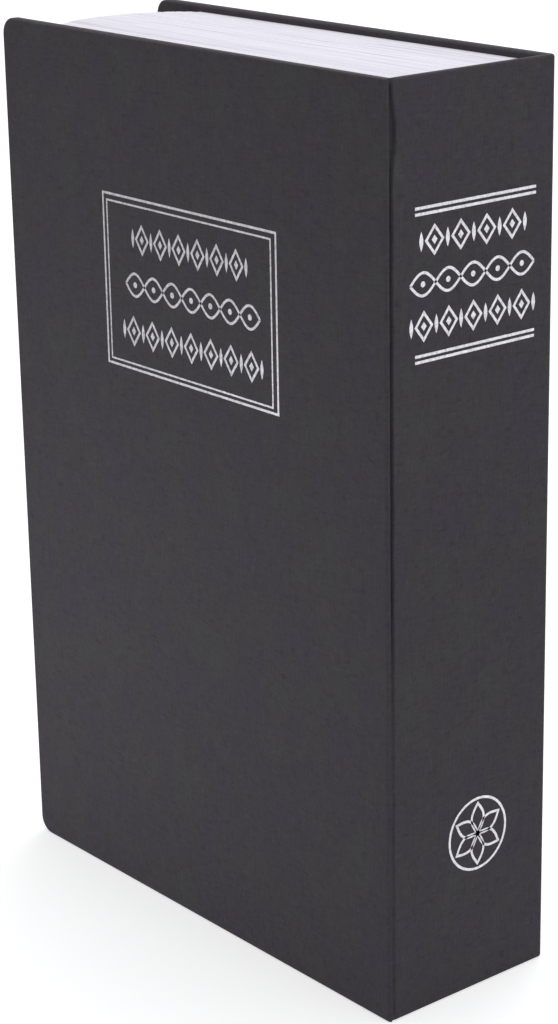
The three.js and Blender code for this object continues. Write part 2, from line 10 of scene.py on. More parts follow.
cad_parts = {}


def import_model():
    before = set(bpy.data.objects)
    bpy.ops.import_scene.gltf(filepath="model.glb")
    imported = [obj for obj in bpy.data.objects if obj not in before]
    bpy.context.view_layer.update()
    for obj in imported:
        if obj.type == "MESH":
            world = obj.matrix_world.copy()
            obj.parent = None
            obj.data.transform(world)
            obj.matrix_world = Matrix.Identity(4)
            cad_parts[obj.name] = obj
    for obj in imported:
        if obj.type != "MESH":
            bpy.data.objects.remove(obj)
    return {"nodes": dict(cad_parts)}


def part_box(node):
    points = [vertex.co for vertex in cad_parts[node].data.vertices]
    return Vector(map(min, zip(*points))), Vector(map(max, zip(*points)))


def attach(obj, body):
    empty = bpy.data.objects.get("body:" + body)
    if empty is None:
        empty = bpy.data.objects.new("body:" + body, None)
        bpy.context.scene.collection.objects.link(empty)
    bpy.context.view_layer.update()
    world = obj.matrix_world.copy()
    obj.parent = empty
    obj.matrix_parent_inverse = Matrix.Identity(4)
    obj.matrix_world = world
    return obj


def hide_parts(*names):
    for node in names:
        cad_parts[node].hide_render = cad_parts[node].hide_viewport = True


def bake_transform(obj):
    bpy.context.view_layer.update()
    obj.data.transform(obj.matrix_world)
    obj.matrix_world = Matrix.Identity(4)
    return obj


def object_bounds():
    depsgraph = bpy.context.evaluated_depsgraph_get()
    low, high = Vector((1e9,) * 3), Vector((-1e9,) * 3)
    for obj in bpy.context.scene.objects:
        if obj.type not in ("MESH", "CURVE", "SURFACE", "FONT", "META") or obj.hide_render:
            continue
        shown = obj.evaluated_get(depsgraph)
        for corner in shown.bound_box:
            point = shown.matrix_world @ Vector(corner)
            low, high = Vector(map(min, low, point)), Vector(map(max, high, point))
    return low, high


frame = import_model()
cad_low, cad_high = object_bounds()

# Clearances, and the strip of flat face kept beside a rounding
SKIN_DROP = 0.00004
CUT_CLEARANCE = 0.00002
CUT_OVERRUN = 0.001
FIT_GAP = 0.0003
SUPPORT = 0.0004
LEAST_TURN = 0.0002

# Covered case
FACE_EDGE = 0.0007
JOINT_EDGE = 0.00095
JOINT_WALL = 0.00015
INNER_EDGE = 0.0005
CORNER_TURN = 0.0014
FORE_CORNER = 0.0045
FORE_CORNER_POWER = 1.5
HEAD_CORNER = 0.001
LINING_CORNER = 0.001
BOARD_CORNER = 0.0036
BOARD_RADII = (BOARD_CORNER, 0, 0, BOARD_CORNER)

# Point attributes that the cloth reads: painted shade in the joint's crease, and rounded edges made lighter
# by rub wear and painted highlight; and how far from the joint the edges are left plain
CREASE_SHADE = "crease"
RUB_AND_HIGHLIGHT = "rub"
RUB_CLEAR = 0.002

# Joint on which the front cover swings
JOINT_SHEET = 0.00025
JOINT_WIDTH = 0.0014
JOINT_BULGE_WIDTH = 0.0026
JOINT_BULGE_Z = 0.2275
JOINT_BULGE_REACH = 0.0068
JOINT_DEPTH = 0.001
JOINT_TAIL_DEPTH = 0.0004
JOINT_FADE = (0.075, 0.125)
JOINT_FALL = 0.2
JOINT_RISE = (0.5, 0.7)
JOINT_END_DEPTH = 0.3
JOINT_END_REACH = 0.0024
JOINT_TURN_IN = 0.00125
JOINT_HEM = (0.0008, 0.00128)
JOINT_WANDER = 0.0003
JOINT_WANDER_LENGTH = 0.011
JOINT_WANDER_NOISE = ((1, (0, 3), 1.0), (3, (5, 0), 0.5))
JOINT_PITCH = 0.001

# False pages
PAGE_ARC = 0.030
PAGE_EDGE = 0.00025
LEAF_PITCH = (0.00022, 0.00075)
LEAF_STEP = 0.00011
LEAF_GROOVE = 0.00013
LEAF_GROOVE_SHARES = (0.4, 1.0)
LEAF_LIP = 0.00005
LEAF_WAVE = 0.00005
LEAF_WAVE_LENGTH = 0.04
LEAF_WAVE_SHIFT = 1.7
LEAF_WAVE_PLANE = 0.5

# Steel box and lid
BOX_SHEET = 0.0008
BOX_CORNER = 0.002
BOX_FOLD = 0.0009
BOX_FLANGE = 0.005
MOUTH_CORNER = 0.0018
LID_SHEET = 0.001
LID_FOLD = 0.0008
LID_HINGE_SIDE_SHARE = 1 / 3
KNUCKLE = 0.0016
KNUCKLE_BORE = 0.00085
KNUCKLE_LENGTH = 0.011
KNUCKLE_LIP = 0.00015
STRAP_SHEET = 0.0008
STRAP_EDGE = 0.00005
STIFFENER_FOOT = 0.006
STIFFENER_SHEET = 0.0008
WELD_PITCH = 0.022
WELD_RADIUS = 0.0017
WELD_HEIGHT = 0.00012
WELD_CROWN_SHARES = (0.45, 0.75)

# Lock, cam and strike
LOCK_FLANGE = 0.0105
LOCK_BARREL = 0.008
LOCK_BORE = 0.0058
LOCK_GROOVE = 0.0078
LOCK_EDGE = 0.0006
LOCK_STEP = 0.00015
THREAD_DEPTH = 0.00045
THREAD_SINK = 1.05
THREAD_PITCH = 0.001
THREAD_SHARES = (0.42, 0.08)
PLUG_RADIUS = 0.0055
PLUG_EDGE = 0.0003
PLUG_TAIL = 0.0025
KEYWAY = (0.0034, 0.0011)
KEYWAY_DEPTH = 0.0106
WARD = 0.0009
WASHER_EDGE_SHARE = 1 / 6
NUT_CHAMFER = 0.5
NUT_FACE_SHARE = 0.98
CAM_HUB = 0.006
CAM_HALF_WIDTH = 0.0045
CAM_END = 0.003
CAM_HOLE = 0.0028
SCREW_HEAD = 0.0034
SCREW_SHANK_SHARE = 0.38
SCREW_RIM_SHARE = 0.35
SCREW_SLOT = (0.0024, 0.0004, 0.0009)
STRIKE_SHEET = 0.0012

# Keys, rivets and hinge pins
KEY_BOW = 0.009
KEY_HOLE = 0.0025
KEY_HOLE_OFFSET = 0.0045
KEY_BLADE = 0.0031
KEY_LENGTH = 0.036
KEY_TIP_SHARE = 0.75
KEY_BITS = 4
KEY_BIT_PITCH = 0.0044
KEY_BIT_DEPTHS = (0.0007, 0.0014)
KEY_BIT_SLOPE_SHARE = 0.25
KEY_GROOVE = 0.0004
KEY_GROOVE_SHARES = (0.45, 0.05)
KEY_GROOVE_END_SHARE = 0.8
KEY_TURNS = {"key_1": 0.06, "key_2": -0.09}
RIVETS = [f"box_rivet_{number}" for number in range(1, 5)]
RIVET_HEAD = 0.0036
RIVET_RISE = 0.0012
RIVET_SHANK_SHARE = 0.44
HINGE_PINS = ("hinge_pin_1", "hinge_pin_2")
PIN_HEAD = 0.0014
PIN_HEAD_LENGTH = 0.0008
PIN_CROWN_SHARES = (0.7, 0.4)

# Widths of the bevels on the pieces whose edges aren't rounded in their own shape
BEVELS = {
    "top_hat_stiffener": 0.0002, "key_plug": 0.00008, "cam_arm": 0.00015, "cam_screw_piece": 0.00006,
    "strike_angle": 0.00015, "key_1_piece": 0.00012, "key_2_piece": 0.00012,
}

# Foil ornament: the widths of its lines, and its places on the cover and on the spine
FOIL_THICKNESS = 0.00003
FOIL_PITCH = 0.0004
FOIL_RAGGED = 0.12
FOIL_RAGGED_LENGTH = 0.0006
FOIL_LEAST_MITRE = 0.4
FOIL_LINE = 0.0007
FOIL_FRAMES = (0.00064, 0.0005)
FOIL_RULE = 0.00072
COVER_FRAMES = (((-0.0338, 0.03725), (0.15265, 0.1985)), ((-0.0322, 0.0352), (0.15405, 0.1967)))
COVER_ROWS = (
    ((-0.0212, 0.0256), 0.188, 6),
    ((-0.0248, 0.0307), 0.1756, 7),
    ((-0.0262, 0.0311), 0.163, 7),
)
COVER_ROW_HEIGHT = 0.0072
SPINE_RULES_Y = (-0.01847, 0.02095)
SPINE_RULES_Z = (0.2090, 0.20755, 0.1735, 0.17205)
SPINE_ROWS = (
    ((-0.0165, 0.0173), 0.201, 4),
    ((-0.02, 0.0205), 0.1908, 5),
    ((-0.0197, 0.0205), 0.1806, 5),
)
SPINE_ROW_HEIGHT = 0.0066
LOZENGE_SHARE = 0.32
LOZENGE_CORE_SHARE = 0.34
ROW_LEAF_SHARES = (0.72, 0.15)
WAVE_SHARE = 0.42
DOT_SHARE = 0.11
ROSETTE_CENTRE = (0.0031, 0.0436)
ROSETTE_RADIUS = 0.0098
PETALS = 6
PETAL_SHARES = (0.86, 0.50)

# Counts
EDGE_STEPS = 5
FACE_STEPS = 10
CORNER_STEPS = 6
TAIL_CORNER_STEPS = 2
FORE_CORNER_STEPS = 8
JOINT_STEPS = 36
JOINT_HEM_STEPS = 4
PATH_STEPS = 26
ROUND_STEPS = 64
FINE_ROUND_STEPS = 128
SMALL_ROUND_STEPS = 40
WELD_STEPS = 20
NUT_STEPS = 126
RING_STEPS = 72
DOT_STEPS = 14
PETAL_STEPS = 14
ROW_LEAF_STEPS = 9
WAVE_STEPS = 12
BEVEL_SEGMENTS = 2

# Colour sockets of a mix node, the range that most of a noise lies in, and how far a metal's gloss strays
MIX_FIRST, MIX_SECOND, MIX_RESULT = 6, 7, 2
NOISE_MIDDLE = (0.3, 0.7)
GLOSS_STRAYS = (0.07, 0.09)

# Camera, fitted to the straight edges of the book
CAMERA_PLACE = (0.517513, -0.420750, 0.332671)
CAMERA_AZIMUTH = 50.715
CAMERA_ELEVATION = 18.300
CAMERA_ROLL = -1.027
CAMERA_LENS = 91.711
CAMERA_SENSOR = 36.0
CAMERA_CLIP = 0.01

# Stage and light: each lamp's name, place, width and height, and power
FLOOR_SIZE = 12.0
FLOOR_GREY = 0.72
FLOOR_GLOW = 0.51
WORLD_STRENGTH = 0.48
LAMP_COLOUR = (0.95, 0.965, 1.0)
LAMPS = (
    ("front_lamp", (-0.10, -0.23, 0.035), (0.12, 0.05), 0.175),
    ("spine_lamp", (1.70, -0.25, 0.40), (1.3, 1.3), 11.3),
    ("back_lamp", (-1.00, 1.50, 1.30), (1.4, 1.4), 8.4),
    ("top_lamp", (0.0, 0.3, 2.10), (1.2, 1.2), 16.4),
)

SHADE_ANGLE = radians(32)
QUARTER = pi / 2
LEAF_SEED = 7
random.seed(LEAF_SEED)

# Planes and axes taken from the frame
front_low, front_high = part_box("front_covering")
back_low, back_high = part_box("spine_back_covering")
page_low, page_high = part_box("page_ring")
lid_low, lid_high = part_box("box_lid")
tray_low, tray_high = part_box("box_tray")
lock_low, lock_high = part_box("lock_body")
pin_low, pin_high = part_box("hinge_pin_1")
spine_inner_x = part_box("spine_lining")[0].x
back_inner_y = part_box("back_lining")[0].y
box_front_y = lid_high.y + FIT_GAP
lid_low_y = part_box("lid_stiffener")[0].y - LID_SHEET
lock_centre = (lock_low + lock_high) / 2
hinge_x = (pin_low.x + pin_high.x) / 2
hinge_y = (pin_low.y + pin_high.y) / 2
face_y = front_low.y + SKIN_DROP
back_face_y = back_high.y - SKIN_DROP
spine_x = back_high.x - SKIN_DROP


# Making and finishing a piece
def given(thing, **settings):
    """The same thing with its settings"""
    for name, value in settings.items():
        setattr(thing, name, value)
    return thing


def placed(name, data):
    """A new object of the scene"""
    obj = bpy.data.objects.new(name, data)
    bpy.context.scene.collection.objects.link(obj)
    return obj


def linked(name, bm):
    """A bmesh as an object, smooth where its faces turn little"""
    bmesh.ops.recalc_face_normals(bm, faces=bm.faces)
    for face in bm.faces:
        face.smooth = True
    mesh = bpy.data.meshes.new(name)
    bm.to_mesh(mesh)
    bm.free()
    mesh.set_sharp_from_angle(angle=SHADE_ANGLE)
    return placed(name, mesh)


def reopened(obj):
    """An object's mesh as a bmesh to add to; the object is deleted"""
    bm = bmesh.new()
    bm.from_mesh(obj.data)
    bpy.data.objects.remove(obj)
    return bm


def cut(obj, *cutters):
    """Takes the cutters' solids out of obj and deletes them"""
    for cutter in cutters:
        given(obj.modifiers.new("cut", "BOOLEAN"), operation="DIFFERENCE", solver="EXACT", object=cutter)
    graph = bpy.context.evaluated_depsgraph_get()
    mesh = bpy.data.meshes.new_from_object(obj.evaluated_get(graph))
    obj.modifiers.clear()
    obj.data = mesh
    for cutter in cutters:
        bpy.data.objects.remove(cutter)
    mesh.set_sharp_from_angle(angle=SHADE_ANGLE)
    return obj


def marked(obj, name, level):
    """Keeps a number on each point for the cloth to read"""
    marks = obj.data.attributes.new(name, "FLOAT", "POINT")
    for item, vertex in zip(marks.data, obj.data.vertices):
        item.value = level(vertex)
    return obj


def soften(obj):
    """Bevels a piece that has a bevel, and keeps its flats flat in the shading"""
    if obj.name in BEVELS:
        bevel = given(obj.modifiers.new("edges", "BEVEL"), width=BEVELS[obj.name], segments=BEVEL_SEGMENTS)
        given(bevel, limit_method="ANGLE", angle_limit=SHADE_ANGLE)
    given(obj.modifiers.new("normals", "WEIGHTED_NORMAL"), keep_sharp=True)


def coated(obj, material):
    """Gives an object one material"""
    obj.data.materials.clear()
    obj.data.materials.append(material)


# Outlines, each a list of points in a plane
def evenly(start, end, steps):
    """Values from start to end, both included"""
    return [start + (end - start) * i / steps for i in range(steps + 1)]


def between(start, end, share):
    """A value a share of the way from start to end"""
    return start + (end - start) * share


def both_ends(half, low, high):
    """Steps in from both ends of a span: (value, distance in) as (value, place)"""
    there = [(value, low + reach) for value, reach in half]
    return there + [(value, high - reach) for value, reach in reversed(half)]


def fade(value, start, end):
    """Smooth step from 0 at start to 1 at end"""
    share = min(max((value - start) / (end - start), 0), 1)
    return share * share * (3 - 2 * share)


def arc(centre, radius, start, sweep, steps):
    """Points round a centre from an angle through a sweep"""
    angles = evenly(start, start + sweep, steps)
    return [(centre[0] + radius * cos(a), centre[1] + radius * sin(a)) for a in angles]


def circle(centre, radius, steps):
    """A full round, its last point one step before its first"""
    return arc(centre, radius, 0, 2 * pi, steps)[:-1]


def rounded_loop(u_range, v_range, radii, steps=CORNER_STEPS):
    """A rectangle with round corners: one radius, or four, from low-low round by high-low"""
    if not isinstance(radii, tuple):
        radii = (radii,) * 4
    (u0, u1), (v0, v1) = u_range, v_range
    corners = ((u0, v0, 1, 1, 2), (u1, v0, -1, 1, 3), (u1, v1, -1, -1, 0), (u0, v1, 1, -1, 1))
    points = []
    for (u, v, toward_u, toward_v, quarter), radius in zip(corners, radii):
        centre = (u + toward_u * radius, v + toward_v * radius)
        turn = arc(centre, radius, quarter * QUARTER, QUARTER, steps)
        points += turn if radius else turn[:1]
    return points


def rectangle(u_range, v_range):
    """A rectangle with square corners"""
    return rounded_loop(u_range, v_range, 0)


def quarter_turn(radius, steps=EDGE_STEPS):
    """Steps from a face over its edge to the side: (inset, drop below the face)"""
    return [(radius * (1 - sin(a)), radius * (1 - cos(a))) for a in evenly(0, QUARTER, steps)]


# Solids made from outlines
def across_y(x=0, z=0):
    """Lays an outline across Y about a place"""
    return lambda u, v, depth: Vector((x + u, depth, z + v))


def across_z(x=0, y=0):
    """Lays an outline across Z about a place"""
    return lambda u, v, depth: Vector((x + u, y + v, depth))


on_y, on_z = across_y(), across_z()
about_lock = across_y(lock_centre.x, lock_centre.z)
about_hinge = across_z(hinge_x, hinge_y)


def laid(outline, place, depth):
    """An outline laid at a depth"""
    return [place(u, v, depth) for u, v in outline]


def levels(outline, place, depths):
    """The same outline laid at several depths"""
    return [laid(outline, place, depth) for depth in depths]


def drawn_in(low, high, inset, radii, y, high_x_inset=None):
    """A box's outline across Y, drawn in all round, or by an inset of its own at its high X"""
    x_range = (low.x + inset, high.x - (inset if high_x_inset is None else high_x_inset))
    return laid(rounded_loop(x_range, (low.z + inset, high.z - inset), radii), on_y, y)


def skin(bm, loops, closed=False):
    """Quads between loops, and on to the first where they close"""
    rings = [[bm.verts.new(point) for point in loop] for loop in loops]
    for near, far in zip(rings, rings[1:] + (rings[:1] if closed else [])):
        for i in range(len(near)):
            j = (i + 1) % len(near)
            bm.faces.new((near[i], near[j], far[j], far[i]))
    return rings


def loft(bm, loops, closed=False):
    """A skin with a cap at each end, unless its loops close"""
    rings = skin(bm, loops, closed)
    if not closed:
        bm.faces.new(reversed(rings[0]))
        bm.faces.new(rings[-1])


def turn(bm, profile, place, steps=ROUND_STEPS, closed=False):
    """A profile of (radius, height) turned about an axis"""
    loft(bm, [laid(circle((0, 0), radius, steps), place, height) for radius, height in profile], closed)


def lofted(name, loops, closed=False):
    """A piece lofted through loops"""
    bm = bmesh.new()
    loft(bm, loops, closed)
    return linked(name, bm)


def prism(name, outline, place, depths):
    """A piece of one outline, straight between two depths"""
    return lofted(name, levels(outline, place, depths))


def turned(name, profile, place, steps=ROUND_STEPS, closed=False):
    """A piece turned from a profile"""
    bm = bmesh.new()
    turn(bm, profile, place, steps, closed)
    return linked(name, bm)


def block(name, low, high):
    """A square block between two corners"""
    return prism(name, rectangle((low[0], high[0]), (low[1], high[1])), on_z, (low[2], high[2]))


def rod(name, radius, ends, place, steps=ROUND_STEPS):
    """A plain round rod"""
    return prism(name, circle((0, 0), radius, steps), place, ends)


def lock_slot(half_x, half_z, y_range):
    """A square cutter about the lock's axis"""
    return prism("slot", rectangle((-half_x, half_x), (-half_z, half_z)), about_lock, y_range)


def hollow_for(node, overrun=(0, 0, 0), radii=0):
    """A cutter a hair larger than a node's box, run past it where overrun is 1 or -1"""
    low, high = (corner.copy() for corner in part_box(node))
    for axis, run in enumerate(overrun):
        low[axis] += min(run, 0) * CUT_OVERRUN - CUT_CLEARANCE
        high[axis] += max(run, 0) * CUT_OVERRUN + CUT_CLEARANCE
    outline = rounded_loop((low.x, high.x), (low.z, high.z), radii)
    return prism(node + "_hollow", outline, on_y, (low.y, high.y))


# Covered case
def cover_panel(name):
    """The front cover, its wall set back along the joint to leave room for the crease"""
    groove = front_high.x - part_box("joint_cloth")[1].x
    wall_y = face_y + JOINT_EDGE
    steps = [(FACE_EDGE + SUPPORT, JOINT_EDGE + SUPPORT, face_y)]
    for inset, drop in quarter_turn(FACE_EDGE, FACE_STEPS):
        joint = JOINT_EDGE - sqrt(JOINT_EDGE**2 - (JOINT_EDGE - drop) ** 2)
        steps.append((inset, joint, face_y + drop))
    steps += [(0, 0, wall_y), (0, groove, wall_y + JOINT_WALL)]
    steps += [(inset, groove, front_high.y - drop) for inset, drop in reversed(quarter_turn(INNER_EDGE))]
    steps.append((INNER_EDGE + SUPPORT, groove + SUPPORT, front_high.y))
    loops = []
    for inset, joint, y in steps:
        fore = max(FORE_CORNER - inset, SUPPORT)
        head = max(HEAD_CORNER - inset - (y - face_y), LEAST_TURN)
        loops.append(drawn_in(front_low, front_high, inset, (fore, head, head, fore), y, joint + SKIN_DROP))
    return lofted(name, loops)


def angle_outline(inset, fore_x):
    """Section of the spine and back cover, drawn in by the inset"""
    inner_x, outer_x, fore_x = spine_inner_x + inset, spine_x - inset, fore_x + inset
    front_y, inner_y, outer_y = back_low.y + inset, back_inner_y + inset, back_face_y - inset
    corners = (
        (inner_x, front_y, INNER_EDGE / 2), (outer_x, front_y, INNER_EDGE), (outer_x, outer_y, CORNER_TURN),
        (fore_x, outer_y, FACE_EDGE), (fore_x, inner_y, INNER_EDGE), (inner_x, inner_y, INNER_EDGE / 2),
    )
    places = [Vector(corner[:2]) for corner in corners]
    points = []
    for i, here in enumerate(places):
        into = (here - places[i - 1]).normalized()
        out = (places[(i + 1) % len(places)] - here).normalized()
        reach = max(corners[i][2] - inset, LEAST_TURN / 2)
        centre = here - into * reach + out * reach
        for angle in evenly(0, QUARTER, EDGE_STEPS):
            points.append(centre + (into * sin(angle) - out * cos(angle)) * reach)
    return points


def angle_panel(name):
    """The spine and the back cover in one, from tail to head"""
    half = quarter_turn(FACE_EDGE)
    for share in evenly(0, 1, FORE_CORNER_STEPS)[1:]:
        half.append((0, between(FACE_EDGE, FORE_CORNER, share**FORE_CORNER_POWER)))
    loops = []
    for inset, z in both_ends(half, back_low.z, back_high.z):
        left = max(FORE_CORNER - min(z - back_low.z, back_high.z - z), 0)
        retreat = FORE_CORNER - sqrt(max(FORE_CORNER**2 - left**2, 0))
        loops.append(laid(angle_outline(inset, back_low.x + retreat), on_z, z))
    return lofted(name, loops)


def rubbed(obj):
    """Marks the rounded edges, where the cloth is made lighter: partly rub wear, partly painted highlight"""
    def wear_and_highlight(vertex):
        if vertex.co.x > spine_x - RUB_CLEAR and vertex.co.y < back_low.y + RUB_CLEAR:
            return 0
        return 2 * abs(vertex.normal.y) * sqrt(max(1 - vertex.normal.y**2, 0))

    return marked(obj, RUB_AND_HIGHLIGHT, wear_and_highlight)


def crease(z, tail_z, head_z):
    """The crease at a height: its width, its depth, and the share of the width where it rises"""
    bulge = exp(-(((z - JOINT_BULGE_Z) / JOINT_BULGE_REACH) ** 2))
    place = z / JOINT_WANDER_LENGTH
    wander = sum(weight * noise.noise(Vector((rate * place, *at))) for rate, at, weight in JOINT_WANDER_NOISE)
    width = between(JOINT_WIDTH, JOINT_BULGE_WIDTH, bulge) + JOINT_WANDER * wander * (1 - bulge)
    depth = between(JOINT_TAIL_DEPTH, JOINT_DEPTH, fade(z, *JOINT_FADE))
    end = fade(min(z - tail_z, head_z - z), 0, JOINT_END_REACH)
    return width, depth * between(JOINT_END_DEPTH, 1, end), between(*JOINT_RISE, bulge)


def joint_stations(tail_z, head_z):
    """The joint's sections as (inset, height), close together at the ends"""
    half = quarter_turn(FACE_EDGE)
    half += [(0, FACE_EDGE + JOINT_PITCH * k / JOINT_HEM_STEPS) for k in range(1, JOINT_HEM_STEPS)]
    count = int((head_z - tail_z - 2 * FACE_EDGE) / JOINT_PITCH)
    even = [(0, tail_z + FACE_EDGE + JOINT_PITCH * k) for k in range(1, count)]
    return sorted(both_ends(half, tail_z, head_z) + even, key=lambda station: station[1])


def joint_strip(name):
    """Cloth over the joint, pressed into a crease and turned in at head and tail"""
    tail_z, head_z = front_low.z, front_high.z
    across = evenly(face_y + JOINT_EDGE, back_low.y + INNER_EDGE, JOINT_STEPS)
    loops = []
    for inset, z in joint_stations(tail_z, head_z):
        width, depth, rise = crease(z, tail_z, head_z)
        turn_in = 1 - fade(min(z - tail_z, head_z - z), *JOINT_HEM)
        sheet, slack = between(JOINT_SHEET, JOINT_TURN_IN, turn_in), JOINT_TURN_IN * turn_in
        shares = [(y - across[0]) / width for y in across]
        dips = [inset + depth * fade(share, 0, JOINT_FALL) * (1 - fade(share, rise, 1)) for share in shares]
        outer = [(spine_x - dip, y) for dip, y in zip(dips, across)]
        inner = [(spine_x - sheet - max(dip - slack, 0), y) for dip, y in zip(dips, across)]
        loops.append(laid(outer + inner[::-1], on_z, z))

    # Depth share in the crease, which the cloth turns into painted shade
    def crease_shade_share(vertex):
        return min(max((spine_x - vertex.co.x) / JOINT_DEPTH, 0), 1)

    return marked(lofted(name, loops), CREASE_SHADE, crease_shade_share)


# False pages
def page_loop(y, depth, number):
    """A line round head, fore-edge and tail, drawn in by a depth and its leaf's wave"""
    turn_in, head, tail, spine = PAGE_EDGE, page_high.z, page_low.z, page_high.x
    fore = page_low.x + PAGE_ARC - sqrt(PAGE_ARC**2 - (y - (page_low.y + page_high.y) / 2) ** 2)
    line = [(x, head) for x in evenly(spine, fore + turn_in, PATH_STEPS)]
    line += [(fore, z) for z in evenly(head - turn_in, tail + turn_in, PATH_STEPS)]
    line += [(x, tail) for x in evenly(fore + turn_in, spine, PATH_STEPS)]
    points = []
    for x, z in line:
        place = Vector(((x + z) / LEAF_WAVE_LENGTH, number * LEAF_WAVE_SHIFT, LEAF_WAVE_PLANE))
        inset = max(depth + LEAF_WAVE * noise.noise(place), 0) if number else depth
        points.append(on_y(min(max(x, fore + inset), spine), min(max(z, tail + inset), head - inset), y))
    return points


def leaf_stations():
    """The leaves' edges: place in Y, how far each is drawn in, and its leaf's number"""
    y, number = page_low.y + PAGE_EDGE, 0
    stations = [(page_low.y, PAGE_EDGE, number)]
    while y < page_high.y - LEAF_PITCH[1]:
        number += 1
        width = random.uniform(*LEAF_PITCH)
        step = LEAF_STEP * random.random() ** 2
        groove = LEAF_GROOVE * random.uniform(*LEAF_GROOVE_SHARES)
        stations += [(y, groove, number), (y + LEAF_LIP, step, number), (y + width - LEAF_LIP, step, number)]
        y += width
    return stations + [(page_high.y, 0, number)]


def fill(bm, *loops):
    """Fills the flat face between rings of vertices"""
    edges = []
    for loop in loops:
        for pair in zip(loop, loop[1:] + loop[:1]):
            edges.append(bm.edges.get(pair) or bm.edges.new(pair))
    bmesh.ops.triangle_fill(bm, use_beauty=True, edges=edges)


def page_block(name):
    """The false pages: leaves on three sides, and the box's opening"""
    corner = BOX_CORNER + FIT_GAP
    opening = [drawn_in(tray_low, tray_high, -FIT_GAP, corner, y) for y in (page_high.y, page_low.y)]
    bm = bmesh.new()
    leaves, mouths = skin(bm, [page_loop(*station) for station in leaf_stations()]), skin(bm, opening)
    fill(bm, leaves[0], mouths[1])
    fill(bm, leaves[-1], mouths[0])
    return linked(name, bm)


# Steel box
def eyes(bm, sides, x_range, y_range):
    """Rolled eyes of the hinges, at the middle (0) or beside it (-1, 1), with their straps"""
    strap = rounded_loop(x_range, y_range, STRAP_EDGE, 1)
    half = [(KNUCKLE_BORE, 0), (KNUCKLE - KNUCKLE_LIP, 0), (KNUCKLE, KNUCKLE_LIP)]
    for pin in HINGE_PINS:
        low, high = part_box(pin)
        for side in sides:
            middle = (low.z + high.z) / 2 + side * (KNUCKLE_LENGTH + FIT_GAP)
            ends = (middle - KNUCKLE_LENGTH / 2, middle + KNUCKLE_LENGTH / 2)
            turn(bm, both_ends(half, *ends), about_hinge, SMALL_ROUND_STEPS, closed=True)
            loft(bm, levels(strap, on_z, ends))


def steel_tray(name):
    """The box: folded walls, a flange turned in round its mouth, and fixed eyes"""
    floor_y, under_y, lip = tray_high.y - BOX_SHEET, box_front_y + BOX_SHEET, BOX_SHEET / 2
    fold, hem = quarter_turn(BOX_FOLD), quarter_turn(lip)
    outside = both_ends([(BOX_FOLD + SUPPORT, 0)] + fold, box_front_y, tray_high.y)[::-1]
    flange = [(BOX_FLANGE - lip - SUPPORT, box_front_y)]
    flange += both_ends([(BOX_FLANGE - inset, drop) for inset, drop in hem], box_front_y, under_y)
    inside = [(BOX_SHEET + BOX_FOLD, under_y), (BOX_SHEET, under_y + BOX_FOLD)]
    inside += [(BOX_SHEET + inset, floor_y - drop) for inset, drop in reversed(fold)]
    inside.append((BOX_SHEET + BOX_FOLD + SUPPORT, floor_y))
    loops = []
    for steps, radius in ((outside, BOX_CORNER), (flange, MOUTH_CORNER), (inside, BOX_CORNER - BOX_SHEET)):
        loops += [drawn_in(tray_low, tray_high, inset, radius, y) for inset, y in steps]
    bm = bmesh.new()
    loft(bm, loops)
    strap_x = (hinge_x + KNUCKLE_BORE, hinge_x + KNUCKLE)
    eyes(bm, (-1, 1), strap_x, (hinge_y, box_front_y + BOX_SHEET / 2))
    return linked(name, bm)


def steel_lid(name):
    """The lid: a shallow pan, open at its hinge side, with swinging eyes and the lock's hole"""
    edge_x = hinge_x - KNUCKLE - FIT_GAP
    steps = [(LID_FOLD + SUPPORT, lid_low_y)]
    steps += [(inset, lid_low_y + drop) for inset, drop in quarter_turn(LID_FOLD)] + [(0, lid_high.y)]
    loops = []
    for inset, y in steps:
        fore = max(BOX_CORNER - inset, SUPPORT)
        hinge_inset = lid_high.x - edge_x + inset * LID_HINGE_SIDE_SHARE
        loops.append(drawn_in(lid_low, lid_high, inset, (fore, LEAST_TURN, LEAST_TURN, fore), y, hinge_inset))
    plate_y = lid_low_y + LID_SHEET
    pan_low = (lid_low.x + LID_SHEET, plate_y, lid_low.z + LID_SHEET)
    pan_high = (edge_x + CUT_OVERRUN, lid_high.y + CUT_OVERRUN, lid_high.z - LID_SHEET)
    hole_ends = (lid_low_y - CUT_OVERRUN, plate_y + CUT_OVERRUN)
    hole = rod("lid_hole", LOCK_BARREL + FIT_GAP, hole_ends, about_lock)
    bm = reopened(cut(lofted(name, loops), block("lid_pan", pan_low, pan_high), hole))
    strap_x = (edge_x - STRAP_SHEET, hinge_x - KNUCKLE_BORE)
    eyes(bm, (0,), strap_x, (lid_low_y, lid_low_y + STRAP_SHEET))
    return linked(name, bm)


def top_hat(name):
    """The lid's stiffener: a top-hat section with the marks of its spot welds"""
    low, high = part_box("lid_stiffener")
    foot, sheet = STIFFENER_FOOT, STIFFENER_SHEET
    under = [(low.y, 0), (low.y, foot + sheet), (high.y - sheet, foot + 2 * sheet)]
    over = [(low.y + sheet, 0), (low.y + sheet, foot), (high.y, foot + sheet)]
    section = both_ends(under, low.x, high.x) + both_ends(over, low.x, high.x)[::-1]
    bm = bmesh.new()
    loft(bm, levels([(x, y) for y, x in section], on_z, (low.z, high.z)))
    count = int((high.z - low.z) / WELD_PITCH)
    for k in range(count + 1):
        z = (low.z + high.z) / 2 + (k - count / 2) * WELD_PITCH
        for x in (low.x + foot / 2, high.x - foot / 2):
            weld_mark(bm, x, low.y + sheet, z)
    return linked(name, bm)


def weld_mark(bm, x, y, z):
    """A low round mark that a spot weld leaves"""
    dent, rim = [WELD_RADIUS * share for share in WELD_CROWN_SHARES]
    profile = [(dent, y + WELD_HEIGHT / 2), (rim, y + WELD_HEIGHT), (WELD_RADIUS, y - WELD_HEIGHT)]
    turn(bm, profile, across_y(x, z), WELD_STEPS)


